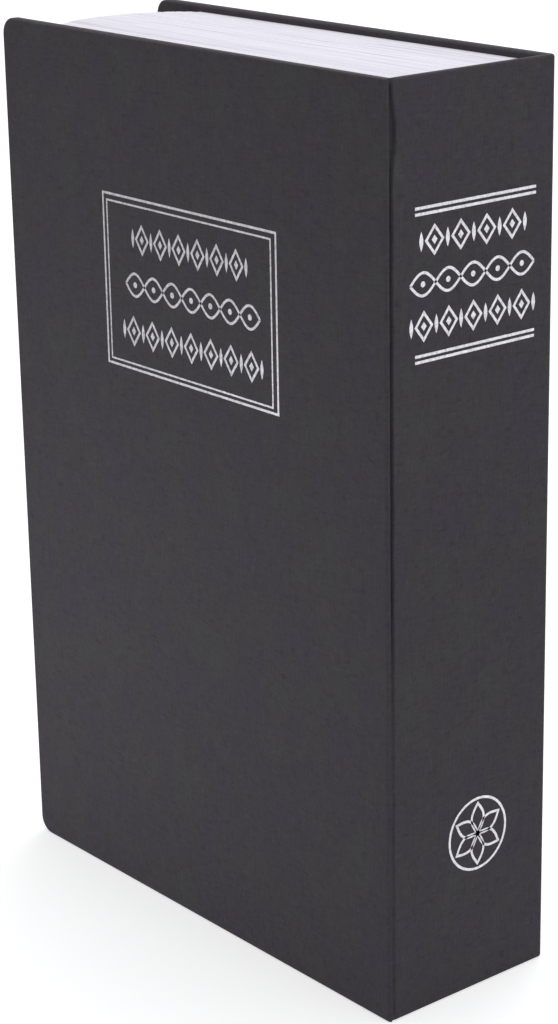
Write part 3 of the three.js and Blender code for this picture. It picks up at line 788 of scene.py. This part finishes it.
# Lock
def thread(bm, radius, start, end):
    """A screw thread as one ridge wound round the barrel, run in and out"""
    steps = int((end - start) / THREAD_PITCH * SMALL_ROUND_STEPS)
    run_in = SMALL_ROUND_STEPS // 2
    root, crest = [THREAD_PITCH * share for share in THREAD_SHARES]
    base = radius - THREAD_DEPTH * THREAD_SINK
    loops = []
    for k in range(steps + 1):
        angle = 2 * pi * k / SMALL_ROUND_STEPS
        y = start + THREAD_PITCH * k / SMALL_ROUND_STEPS
        ridge = base + THREAD_DEPTH * min(k, steps - k, run_in) / run_in
        section = [(base, -root), (ridge, -crest), (ridge, crest), (base, root)]
        loops.append([about_lock(r * cos(angle), r * sin(angle), y + dy) for r, dy in section])
    loft(bm, loops)


def lock_case(name):
    """The lock's body: a stepped flange, a bored barrel and its thread"""
    front, seat, back = lock_low.y, lid_low_y, lock_high.y
    edge, step, core, groove = LOCK_EDGE, LOCK_STEP, LOCK_BARREL - THREAD_DEPTH, LOCK_GROOVE
    profile = [(LOCK_BORE, back), (LOCK_BORE, front + edge), (LOCK_BORE + edge / 2, front), (groove, front)]
    profile += [(groove + step, front + step), (groove + 2 * step, front + step), (groove + 3 * step, front)]
    profile += [(LOCK_FLANGE - inset, front + drop) for inset, drop in quarter_turn(edge)]
    profile += [(LOCK_FLANGE, seat - step), (LOCK_FLANGE - step, seat), (core, seat)]
    profile += [(core, back - edge), (core - edge, back)]
    bm = bmesh.new()
    turn(bm, profile, about_lock, FINE_ROUND_STEPS, closed=True)
    thread(bm, LOCK_BARREL, seat + THREAD_PITCH, back - THREAD_PITCH)
    return linked(name, bm)


def washer(name):
    """A flat washer with broken edges"""
    low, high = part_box("lock_washer")
    radius, edge = (high.x - low.x) / 2, (high.y - low.y) * WASHER_EDGE_SHARE
    half = [(LOCK_BARREL, 0), (radius - edge, 0), (radius, edge)]
    return turned(name, both_ends(half, low.y, high.y), about_lock, closed=True)


def hex_nut(name):
    """A six-sided nut, its corners turned off at both ends"""
    low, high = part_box("lock_nut")
    half_width = (high.z - low.z) / 2
    face = half_width * NUT_FACE_SHARE
    loops = []
    for y, way in ((low.y, 1), (high.y, -1)):
        rings = [], [], []
        for k in range(NUT_STEPS):
            angle = 2 * pi * k / NUT_STEPS
            side = half_width / cos((angle + pi / 2) % (pi / 3) - pi / 6)
            side_y = y + way * max(side - face, 0) * NUT_CHAMFER
            for ring, (radius, depth) in zip(rings, ((LOCK_BARREL, y), (face, y), (side, side_y))):
                ring.append(about_lock(radius * cos(angle), radius * sin(angle), depth))
        loops += rings[::way]
    return lofted(name, loops, closed=True)


def plug(name):
    """The plug: a turned face with a warded keyway, and a square tail for the cam"""
    low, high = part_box("lock_plug")
    back = lock_high.y
    profile = [(PLUG_RADIUS - PLUG_EDGE, low.y), (PLUG_RADIUS, low.y + PLUG_EDGE), (PLUG_RADIUS, back)]
    half_x, half_z = KEYWAY
    keyway = lock_slot(half_x, half_z, (low.y - CUT_OVERRUN, low.y + KEYWAY_DEPTH))
    bm = reopened(cut(turned(name, profile, about_lock), keyway))
    tail = rounded_loop((-PLUG_TAIL, PLUG_TAIL), (-PLUG_TAIL, PLUG_TAIL), PLUG_EDGE, TAIL_CORNER_STEPS)
    loft(bm, levels(tail, about_lock, (back - PLUG_EDGE, high.y)))
    ward = rectangle((-half_x, WARD - half_x), (half_z - WARD, half_z))
    loft(bm, levels(ward, about_lock, (low.y + PLUG_EDGE, low.y + KEYWAY_DEPTH)))
    return linked(name, bm)


def cam_plate(name):
    """The cam: a hub, an arm with a round end and a square hole"""
    low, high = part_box("lock_cam")
    tip = lock_centre.z - low.z
    start = asin(CAM_HALF_WIDTH / CAM_HUB)
    outline = arc((0, 0), CAM_HUB, start - QUARTER, 2 * pi - 2 * start, ROUND_STEPS // 2)
    for side, angle in ((-1, pi), (1, pi + QUARTER)):
        centre = (side * (CAM_HALF_WIDTH - CAM_END), CAM_END - tip)
        outline += arc(centre, CAM_END, angle, QUARTER, CORNER_STEPS)
    hole = lock_slot(CAM_HOLE, CAM_HOLE, (low.y - CUT_OVERRUN, high.y + CUT_OVERRUN))
    return cut(prism(name, outline, about_lock, (low.y, high.y)), hole)


def pan_screw(name):
    """The cam's screw: a low round head with a cross slot"""
    low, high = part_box("cam_screw")
    head_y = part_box("lock_cam")[1].y
    shank = SCREW_HEAD * SCREW_SHANK_SHARE
    profile = [(shank, low.y), (shank, head_y), (SCREW_HEAD, head_y)]
    for angle in evenly(0, QUARTER, EDGE_STEPS + 1)[:-1]:
        rise = between(SCREW_RIM_SHARE, 1, sin(angle))
        profile.append((SCREW_HEAD * cos(angle), between(head_y, high.y, rise)))
    reach, half, depth = SCREW_SLOT
    y_range = (high.y - depth, high.y + CUT_OVERRUN)
    slots = lock_slot(reach, half, y_range), lock_slot(half, reach, y_range)
    return cut(turned(name, profile, about_lock), *slots)


def strike(name):
    """The strike: an angle bent from strip"""
    low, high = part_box("strike_plate")
    inner_x, inner_y = low.x + STRIKE_SHEET, low.y + STRIKE_SHEET
    section = [(low.x, high.y)] + arc((inner_x, inner_y), STRIKE_SHEET, pi, QUARTER, CORNER_STEPS)
    section += [(high.x, low.y), (high.x, inner_y), (inner_x, inner_y), (inner_x, high.y)]
    return prism(name, section, on_z, (low.z, high.z))


# Rivets, hinge pins and keys
def rivet(node):
    """A rivet with a low round head"""
    low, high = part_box(node)
    centre, shank, seat = (low + high) / 2, RIVET_HEAD * RIVET_SHANK_SHARE, low.y + RIVET_RISE
    turns = evenly(0, QUARTER, EDGE_STEPS)[1:]
    profile = [(RIVET_HEAD * sin(a), seat - RIVET_RISE * cos(a)) for a in turns]
    profile += [(shank, seat), (shank, high.y)]
    return turned(node + "_piece", profile, across_y(centre.x, centre.z), SMALL_ROUND_STEPS)


def hinge_pin(node):
    """A hinge pin with a round head at each end"""
    low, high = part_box(node)
    length = PIN_HEAD_LENGTH
    crown, shoulder = PIN_HEAD * PIN_CROWN_SHARES[0], length * PIN_CROWN_SHARES[1]
    head = [(crown, 0), (PIN_HEAD, shoulder), (PIN_HEAD, length), (PIN_HEAD / 2, length)]
    return turned(node + "_piece", both_ends(head, low.z, high.z), about_hinge, SMALL_ROUND_STEPS)


def key_outline():
    """A key's outline: its bow, its bits cut in slopes and its tip"""
    neck = asin(KEY_BLADE / KEY_BOW)
    run = KEY_BIT_PITCH / 2
    slope = run * KEY_BIT_SLOPE_SHARE
    bits = []
    for k in range(KEY_BITS):
        x = -KEY_LENGTH + (k + 1) * KEY_BIT_PITCH
        floor_y = KEY_BLADE - KEY_BIT_DEPTHS[k % len(KEY_BIT_DEPTHS)]
        bits += [(x, KEY_BLADE), (x + slope, floor_y), (x + run - slope, floor_y), (x + run, KEY_BLADE)]
    tip = KEY_BLADE * KEY_TIP_SHARE
    points = arc((0, 0), KEY_BOW, neck - pi, 2 * pi - 2 * neck, ROUND_STEPS - 1) + bits[::-1]
    points += [(-KEY_LENGTH + tip, KEY_BLADE), (-KEY_LENGTH, KEY_BLADE - tip)]
    return points + [(-KEY_LENGTH, -KEY_BLADE + tip), (-KEY_LENGTH + tip, -KEY_BLADE)]


def flat_key(node):
    """A flat key with its hole, cut bits and a groove down each side of the blade"""
    low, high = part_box(node)
    thickness = high.z - low.z
    key = prism(node + "_piece", key_outline(), on_z, (0, thickness))
    hole_ends = (-CUT_OVERRUN, thickness + CUT_OVERRUN)
    cutters = [rod("key_hole", KEY_HOLE, hole_ends, across_z(KEY_HOLE_OFFSET), SMALL_ROUND_STEPS)]
    start_y, end_y = [-KEY_BLADE * share for share in KEY_GROOVE_SHARES]
    for z in (0, thickness):
        groove_low = (-KEY_LENGTH - CUT_OVERRUN, start_y, z - KEY_GROOVE)
        groove_high = (-KEY_BOW * KEY_GROOVE_END_SHARE, end_y, z + KEY_GROOVE)
        cutters.append(block("key_groove", groove_low, groove_high))
    cut(key, *cutters)
    key.data.transform(Matrix.Rotation(KEY_TURNS[node], 4, "Z"))
    reach, rise = [max(vertex.co[axis] for vertex in key.data.vertices) for axis in (0, 1)]
    key.data.transform(Matrix.Translation((high.x - reach, high.y - rise, low.z)))
    return key


# Foil ornament, drawn flat as strokes and then laid on the cloth
def fine_line(points, closed):
    """The line with more points, none further apart than the foil's pitch"""
    places = [Vector(point) for point in points]
    fine = []
    for start, end in zip(places, places[1:] + (places[:1] if closed else [])):
        fine += evenly(start, end, ceil((end - start).length / FOIL_PITCH))[:-1]
    return fine if closed else fine + places[-1:]


def stroke(points, width, closed):
    """Left and right edges of a line, mitred at its corners and a little ragged"""
    line = fine_line(points, closed)
    ways = [(after - here).normalized() for here, after in zip(line, line[1:] + line[:1])]
    if not closed:
        ways[-1] = ways[-2]
    left, right = [], []
    for i, (here, out) in enumerate(zip(line, ways)):
        into = ways[i - 1] if closed or i else out
        along = (into + out).normalized()
        normal = Vector((-along.y, along.x)) * width / 2 / max(along.dot(out), FOIL_LEAST_MITRE)
        for edge, side in ((left, 1), (right, -1)):
            place = Vector((here.x, here.y, side * width)) / FOIL_RAGGED_LENGTH
            edge.append(here + normal * side * (1 + FOIL_RAGGED * noise.noise(place)))
    return left, right


def leaf_shape(root, tip, width, steps):
    """A pointed leaf, from its root to its tip and back"""
    root, along = Vector(root), Vector(tip) - Vector(root)
    across = Vector((-along.y, along.x)).normalized() * width / 2
    shares = [k / steps for k in range(2 * steps)]
    places = [root + along * (1 - abs(1 - share)) + across * sin(pi * share) for share in shares]
    return [tuple(place) for place in places]


def lozenge(u, v, half_u, half_v):
    """A rhombus on its point"""
    return [(u - half_u, v), (u, v - half_v), (u + half_u, v), (u, v + half_v)]


def middles(u_range, count):
    """The middles of a number of equal spans"""
    return [between(*u_range, (k + 0.5) / count) for k in range(count)]


def lozenge_row(u_range, v, height, count):
    """Open lozenges with solid ones in them, and upright leaves between them and at the ends"""
    pitch = (u_range[1] - u_range[0]) / count
    half_u, half_v = pitch * LOZENGE_SHARE, height / 2
    leaf_v, leaf_width = half_v * ROW_LEAF_SHARES[0], pitch * ROW_LEAF_SHARES[1]
    lines, solids = [], []
    for shapes, share in ((lines, 1), (solids, LOZENGE_CORE_SHARE)):
        shapes += [lozenge(u, v, half_u * share, half_v * share) for u in middles(u_range, count)]
    for u in evenly(*u_range, count):
        solids.append(leaf_shape((u, v - leaf_v), (u, v + leaf_v), leaf_width, ROW_LEAF_STEPS))
    return lines, [], solids


def wave_row(u_range, v, height, count):
    """Two waves that cross, with a dot in each eye"""
    places = evenly(0, count, WAVE_STEPS * count)
    waves = []
    for swing in (-height * WAVE_SHARE, height * WAVE_SHARE):
        waves.append([(between(*u_range, at / count), v + swing * sin(pi * at)) for at in places])
    return [], waves, [circle((u, v), height * DOT_SHARE, DOT_STEPS) for u in middles(u_range, count)]


def rosette(centre, radius):
    """A six-petal rosette struck with compasses, in a ring"""
    length, width = radius * PETAL_SHARES[0], radius * PETAL_SHARES[0] * PETAL_SHARES[1]
    lines = [circle(centre, radius, RING_STEPS)]
    for tip in arc(centre, length, pi / PETALS, 2 * pi, PETALS)[:-1]:
        lines.append(leaf_shape(centre, tip, width, PETAL_STEPS))
    return lines


def foil(name, rows, height, frames, rules, place):
    """Foil on the cloth: rows of ornament, and closed and open lines with their widths"""
    closed, opened, solids = [], [], []
    for draw, (u_range, v, count) in zip((lozenge_row, wave_row, lozenge_row), rows):
        lines, waves, spots = draw(u_range, v, height, count)
        closed += [(line, FOIL_LINE) for line in lines]
        opened += [(line, FOIL_LINE) for line in waves]
        solids += spots
    bm = bmesh.new()
    top = FOIL_THICKNESS
    for lines, whole in ((closed + frames, True), (opened + rules, False)):
        for line, width in lines:
            edges = zip(*stroke(line, width, whole))
            loft(bm, [[place(*a, 0), place(*a, top), place(*b, top), place(*b, 0)] for a, b in edges], whole)
    for outline in solids:
        loft(bm, levels(outline, place, (0, top)))
    return linked(name, bm)


def on_cover(u, v, depth):
    """A place on the front cover's face"""
    return Vector((u, face_y - depth, v))


def on_spine(u, v, depth):
    """A place on the spine's face"""
    return Vector((spine_x + depth, u, v))


def cover_foil(name):
    """The double frame on the front cover and the ornament in it"""
    frames = [(rectangle(*sides), width) for sides, width in zip(COVER_FRAMES, FOIL_FRAMES)]
    return foil(name, COVER_ROWS, COVER_ROW_HEIGHT, frames, [], on_cover)


def spine_foil(name):
    """The double rules on the spine, the ornament between them and the rosette below"""
    rules = [([(y, z) for y in SPINE_RULES_Y], FOIL_RULE) for z in SPINE_RULES_Z]
    rings = [(line, FOIL_LINE) for line in rosette(ROSETTE_CENTRE, ROSETTE_RADIUS)]
    return foil(name, SPINE_ROWS, SPINE_ROW_HEIGHT, rings, rules, on_spine)


# Materials
def shade(red, green, blue):
    """A colour as the eye reads it, 0 to 255, in linear values"""
    linear = []
    for value in (red, green, blue):
        share = value / 255
        linear.append(share / 12.92 if share <= 0.04045 else ((share + 0.055) / 1.055) ** 2.4)
    return (*linear, 1.0)


def grey(value):
    """A grey that multiplies a colour"""
    return (value, value, value, 1.0)


def feed(tree, node, feeds):
    """Feeds a node's sockets with outputs or plain values"""
    for socket, value in feeds.items():
        if isinstance(value, bpy.types.NodeSocket):
            tree.links.new(value, node.inputs[socket])
        else:
            node.inputs[socket].default_value = value


def add_node(tree, kind, feeds, output, **settings):
    """Adds a node and returns one of its outputs"""
    node = given(tree.nodes.new("ShaderNode" + kind), **settings)
    feed(tree, node, feeds)
    return node.outputs[output]


class Look:
    """One material, with short calls for the textures that feed its shader"""

    def __init__(self, name, **values):
        self.material = bpy.data.materials.new(name)
        self.material.use_nodes = True
        self.tree = self.material.node_tree
        self.fed(**values)
        self.place = self.node("TexCoord", {}, "Object")

    def fed(self, **feeds):
        """Feeds the shader's sockets, an underscore standing for a space"""
        sockets = {socket.replace("_", " "): value for socket, value in feeds.items()}
        feed(self.tree, self.tree.nodes["Principled BSDF"], sockets)
        return self.material

    def node(self, kind, feeds, output, **settings):
        """An output of a new node of this material"""
        return add_node(self.tree, kind, feeds, output, **settings)

    def grain(self, scale, detail=3.0, roughness=0.55, distortion=0.0):
        """Noise in patches per metre, one number or one along each axis"""
        along = scale if isinstance(scale, tuple) else (scale,) * 3
        place = self.node("Mapping", {"Vector": self.place, "Scale": along}, "Vector")
        feeds = {"Vector": place, "Scale": 1.0, "Detail": detail, "Roughness": roughness}
        return self.node("TexNoise", {**feeds, "Distortion": distortion}, "Fac")

    def attribute(self, name):
        """A number kept on the mesh's points"""
        return self.node("Attribute", {}, "Fac", attribute_name=name)

    def ramp(self, factor, *stops):
        """A colour from a factor, by stops of (place, colour) or (place, multiplier)"""
        output = self.node("ValToRGB", {"Fac": factor}, "Color")
        elements = output.node.color_ramp.elements
        while len(elements) < len(stops):
            elements.new(0.5)
        for element, (place, colour) in zip(elements, stops):
            element.position = place
            element.color = shade(*colour) if isinstance(colour, tuple) else grey(colour)
        return output

    def blend(self, kind, share, first, second):
        """Two colours mixed; share is a number or an output"""
        feeds = {"Factor": share, MIX_FIRST: first, MIX_SECOND: second}
        return self.node("Mix", feeds, MIX_RESULT, data_type="RGBA", blend_type=kind)

    def product(self, *colours):
        """Colours multiplied with each other"""
        return reduce(lambda first, second: self.blend("MULTIPLY", 1.0, first, second), colours)

    def total(self, first, *others):
        """The sum of outputs"""
        for other in others:
            first = self.node("Math", {0: first, 1: other}, 0, operation="ADD")
        return first

    def spread(self, factor, low, high):
        """A factor's middle range stretched from low to high"""
        feeds = {"Value": factor, "To Min": low, "To Max": high}
        feeds["From Min"], feeds["From Max"] = NOISE_MIDDLE
        return self.node("MapRange", feeds, "Result")

    def relief(self, height, distance, strength):
        """A normal that follows a height"""
        feeds = {"Height": height, "Strength": strength, "Distance": distance}
        return self.node("Bump", feeds, "Normal")


def covering_cloth():
    """Charcoal paper-linen: a cloudy weave with slubs, lighter at rounded edges from rub wear and painted
    highlight, and darker in the joint's crease from painted shade
    """
    look = Look("covering_cloth", Roughness=0.82, Specular_IOR_Level=0.22)
    upright = look.grain((2600, 2600, 300), 1.0)
    level = look.grain((300, 300, 2600), 1.0)
    slubs = look.grain((1700, 1700, 380), 2.0, 0.6)
    cross_slubs = look.grain((420, 420, 1500), 2.0, 0.6)
    clouds = look.grain((85, 85, 60), 4.0, 0.6)
    mottle = look.grain((360, 360, 440), 5.0, 0.72)
    tints = (0.37, (69, 68, 71)), (0.46, (70, 66, 69)), (0.54, (69, 65, 71)), (0.63, (70, 64, 74))
    threads = look.total(look.spread(upright, 0.0, 0.5), look.spread(level, 0.0, 0.5))
    weave = look.ramp(threads, (0.2, 0.84), (0.5, 0.93), (0.8, 1.0))
    cloth = look.product(
        look.ramp(clouds, *tints),
        weave,
        look.ramp(slubs, (0.33, 0.70), (0.43, 0.88), (0.57, 0.88), (0.68, 1.0)),
        look.ramp(cross_slubs, (0.34, 0.78), (0.43, 0.92), (0.64, 0.92), (0.72, 1.0)),
        look.ramp(mottle, (0.32, 0.66), (0.42, 0.92), (0.58, 0.96), (0.68, 1.12)),
    )
    # Rounded edges mixed towards a paler tone: partly rub wear, partly painted highlight
    rub = look.product(look.ramp(look.attribute(RUB_AND_HIGHLIGHT), (0.1, 0.0), (0.8, 1.0)), weave)
    pale_wear_and_highlight = look.ramp(slubs, (0.4, (82, 79, 84)), (0.6, (108, 105, 110)))
    worn = look.blend("MIX", look.spread(rub, 0.0, 0.3), cloth, pale_wear_and_highlight)
    return look.fed(
        # Painted shade: the cloth darkened in the joint's crease
        Base_Color=look.product(worn, look.ramp(look.attribute(CREASE_SHADE), (0.2, 1.0), (0.8, 0.68))),
        Roughness=look.spread(slubs, 0.74, 0.9),
        Normal=look.relief(look.total(threads, slubs, cross_slubs), 0.00009, 0.8),
    )


def lining_paper():
    """Dark endpaper with short fibres"""
    look = Look("lining_paper", Roughness=0.9, Specular_IOR_Level=0.25)
    fibres = look.grain((500, 500, 1400), 4.0, 0.65, 0.6)
    base = look.ramp(fibres, (0.35, (36, 35, 37)), (0.65, (50, 49, 52)))
    tint = look.ramp(look.grain(40), (0.35, (38, 37, 39)), (0.65, (47, 46, 49)))
    tone = look.blend("MIX", 0.5, base, tint)
    return look.fed(Base_Color=tone, Normal=look.relief(fibres, 0.00003, 0.6))


def grey_board():
    """Pulp board with specks"""
    look = Look("grey_board", Roughness=0.92, Specular_IOR_Level=0.2)
    specks = look.grain(1500, 4.0, 0.7)
    tone = look.ramp(specks, (0.33, (104, 98, 90)), (0.5, (141, 134, 124)), (0.7, (164, 158, 148)))
    return look.fed(Base_Color=tone, Normal=look.relief(specks, 0.00004, 0.6))


def page_white():
    """False pages: cool white leaves, fine lines between them, and a gap here and there"""
    look = Look("page_white", Roughness=0.7, Specular_IOR_Level=0.3)
    lines = look.grain((9, 3300, 9), 3.0, 0.6)
    bundles = look.grain((7, 420, 7), 3.0, 0.6)
    gaps = look.grain((14, 700, 14), 2.0, 0.6)
    fine = look.ramp(lines, (0.30, (216, 212, 225)), (0.48, (235, 232, 241)), (0.70, (245, 243, 249)))
    broad = look.ramp(bundles, (0.32, (219, 215, 228)), (0.52, (236, 233, 242)), (0.70, (243, 241, 247)))
    cloudy = look.ramp(look.grain(26), (0.35, (232, 229, 238)), (0.65, (240, 238, 243)))
    leaves = look.blend("MIX", 0.25, look.blend("MIX", 0.5, fine, broad), cloudy)
    return look.fed(
        Base_Color=look.product(leaves, look.ramp(gaps, (0.30, 0.78), (0.40, 1.0))),
        Normal=look.relief(look.total(lines, gaps), 0.00005, 0.5),
    )


def powder_coat():
    """Black powder coat with its fine orange peel"""
    look = Look("powder_coat", Roughness=0.5, Specular_IOR_Level=0.45)
    peel = look.grain(1100, 2.0)
    dust = look.grain(3800, 2.0, 0.7)
    clouds = look.grain(60)
    base = look.ramp(dust, (0.40, (24, 24, 26)), (0.60, (33, 33, 35)), (0.76, (46, 46, 49)))
    tint = look.ramp(clouds, (0.35, (26, 26, 28)), (0.65, (33, 33, 36)))
    return look.fed(
        Base_Color=look.blend("MIX", 0.5, base, tint),
        Roughness=look.spread(clouds, 0.42, 0.56),
        Normal=look.relief(look.total(peel, dust), 0.00005, 0.5),
    )


def metal(name, dark, light, roughness, grain_scale, patch_scale, peel=0.00001):
    """A bare or plated metal: two tones in patches, a directed grain and uneven gloss"""
    look = Look(name, Metallic=1.0)
    grain = look.grain(grain_scale, 3.0, 0.6)
    patches = look.grain(patch_scale, 4.0, 0.6, 0.4)
    tone = look.ramp(patches, (0.32, dark), (0.68, light))
    worn = look.ramp(grain, (0.30, dark), (0.70, light))
    low, high = roughness - GLOSS_STRAYS[0], roughness + GLOSS_STRAYS[1]
    return look.fed(
        Base_Color=look.blend("MIX", 0.4, tone, worn),
        Roughness=look.spread(look.blend("MIX", 0.5, grain, patches), low, high),
        Normal=look.relief(grain, peel, 0.6),
    )


def foil_silver(name, dark, middle, light):
    """Stamped foil with the grain of the cloth under it, thinner where it is rubbed"""
    look = Look(name, Metallic=0.9)
    rub = look.grain(1300, 4.0, 0.7)
    return look.fed(
        Base_Color=look.ramp(rub, (0.34, dark), (0.5, middle), (0.7, light)),
        Roughness=look.spread(rub, 0.34, 0.52),
        Normal=look.relief(look.grain((2300, 2300, 300), 2.0), 0.00004, 0.5),
    )


# Floor, light and camera
def seen_rays(tree):
    """1 on rays from the camera, in reflections and through glass, 0 on the rays that light the object"""
    path = tree.nodes.new("ShaderNodeLightPath")
    seen = path.outputs["Is Camera Ray"]
    for ray in ("Is Glossy Ray", "Is Transmission Ray"):
        seen = add_node(tree, "Math", {0: seen, 1: path.outputs[ray]}, 0, operation="MAXIMUM")
    return seen


def floor_material():
    """Pale floor that shows the shadow and reads as white to the camera"""
    look = Look("floor", Roughness=0.9, Specular_IOR_Level=0.0)
    glow = look.node("Math", {0: seen_rays(look.tree), 1: FLOOR_GLOW}, 0, operation="MULTIPLY")
    return look.fed(Base_Color=grey(FLOOR_GREY), Emission_Color=grey(1.0), Emission_Strength=glow)


def floor():
    """A wide floor under the book"""
    bm = bmesh.new()
    half = FLOOR_SIZE / 2
    bm.faces.new([bm.verts.new((x, y, cad_low.z)) for x, y in rectangle((-half, half), (-half, half))])
    plane = linked("floor", bm)
    coated(plane, floor_material())


def world():
    """White where it is seen, and less strong as a light"""
    sky = bpy.data.worlds.new("studio")
    bpy.context.scene.world = sky
    sky.use_nodes = True
    tree = sky.node_tree
    feeds = {"Value": seen_rays(tree), "To Min": WORLD_STRENGTH, "To Max": 1.0}
    strength = add_node(tree, "MapRange", feeds, "Result")
    feed(tree, tree.nodes["Background"], {"Color": grey(1.0), "Strength": strength})


def lamps():
    """Soft lamps turned to the middle of the book"""
    target = Vector((0, 0, (cad_low.z + cad_high.z) / 2))
    for name, place, (width, height), power in LAMPS:
        light = given(bpy.data.lights.new(name, "AREA"), shape="RECTANGLE", size=width, size_y=height)
        lamp = placed(name, given(light, energy=power, color=LAMP_COLOUR))
        lamp.location = place
        lamp.visible_camera = False
        lamp.rotation_mode = "QUATERNION"
        lamp.rotation_quaternion = (target - Vector(place)).to_track_quat("-Z", "Y")


def camera():
    """The photograph's view of the book"""
    data = bpy.data.cameras.new("camera")
    given(data, lens=CAMERA_LENS, sensor_width=CAMERA_SENSOR, clip_start=CAMERA_CLIP)
    whole = Matrix.Translation(CAMERA_PLACE)
    for angle, axis in ((CAMERA_AZIMUTH, "Z"), (90 - CAMERA_ELEVATION, "X"), (CAMERA_ROLL, "Z")):
        whole = whole @ Matrix.Rotation(radians(angle), 4, axis)
    eye = placed("camera", data)
    eye.matrix_world = whole
    bpy.context.scene.camera = eye


# The dressed object
paper, board = lining_paper(), grey_board()
looks = {
    "covering": covering_cloth(),
    "pages": page_white(),
    "box_steel": powder_coat(),
    "zinc": metal("zinc", (150, 154, 160), (190, 190, 188), 0.36, (900, 900, 250), 160),
    "lock_chrome": metal("chrome", (205, 207, 210), (226, 228, 230), 0.14, 300, 90, 0.000002),
    "brass": metal("brass", (170, 132, 66), (208, 172, 96), 0.30, (1400, 200, 1400), 300),
    "key_metal": metal("nickel", (196, 194, 188), (228, 226, 220), 0.42, (140, 1800, 1800), 200),
    "rivet": metal("aluminium", (168, 170, 174), (200, 202, 205), 0.34, 700, 260),
}
dull_silver = foil_silver("dull_silver", (150, 148, 151), (178, 176, 179), (200, 198, 201))
bright_silver = foil_silver("bright_silver", (184, 183, 187), (212, 211, 215), (232, 231, 235))

front = cut(
    cover_panel("front_cover_covering"),
    hollow_for("front_board", radii=BOARD_RADII), hollow_for("front_lining", (0, 1, 0), LINING_CORNER),
)
case = cut(
    angle_panel("spine_and_back_covering"),
    hollow_for("spine_board"), hollow_for("spine_lining", (-1, 0, 0)),
    hollow_for("back_board", radii=BOARD_RADII), hollow_for("back_lining", (0, -1, 0), LINING_CORNER),
)
for piece, slot, body, node in (
    (rubbed(front), "covering", "front_cover", "front_covering"),
    (rubbed(case), "covering", "book", "spine_back_covering"),
    (page_block("false_pages"), "pages", "book", "page_ring"),
    (steel_tray("steel_box"), "box_steel", "book", "box_tray"),
    (steel_lid("steel_lid"), "box_steel", "lid", "box_lid"),
    (top_hat("top_hat_stiffener"), "box_steel", "lid", "lid_stiffener"),
    (lock_case("lock_case"), "lock_chrome", "lid", "lock_body"),
    (washer("flat_washer"), "zinc", "lid", "lock_washer"),
    (hex_nut("hex_nut"), "zinc", "lid", "lock_nut"),
    (plug("key_plug"), "brass", "lock_core", "lock_plug"),
    (cam_plate("cam_arm"), "zinc", "lock_core", "lock_cam"),
    (pan_screw("cam_screw_piece"), "zinc", "lock_core", "cam_screw"),
    (strike("strike_angle"), "zinc", "book", "strike_plate"),
    *((rivet(node), "rivet", "book", node) for node in RIVETS),
    *((hinge_pin(node), "zinc", "book", node) for node in HINGE_PINS),
    *((flat_key(node), "key_metal", "book", node) for node in KEY_TURNS),
):
    soften(piece)
    coated(piece, looks[slot])
    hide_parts(node)
    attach(piece, body)

strip = joint_strip("joint_covering")
coated(strip, looks["covering"])
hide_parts("joint_cloth")
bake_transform(strip)

for piece, silver, body in (
    (cover_foil("front_foil"), dull_silver, "front_cover"),
    (spine_foil("spine_foil"), bright_silver, "book"),
):
    coated(piece, silver)
    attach(piece, body)

for material, names in (
    (paper, ("front_lining", "spine_lining", "back_lining")),
    (board, ("front_board", "spine_board", "back_board")),
    (looks["brass"], [f"lock_wafer_{number}" for number in range(1, 5)]),
):
    for name in names:
        coated(frame["nodes"][name], material)

floor()
world()
lamps()
camera()
bpy.context.scene.view_settings.view_transform = "Standard"
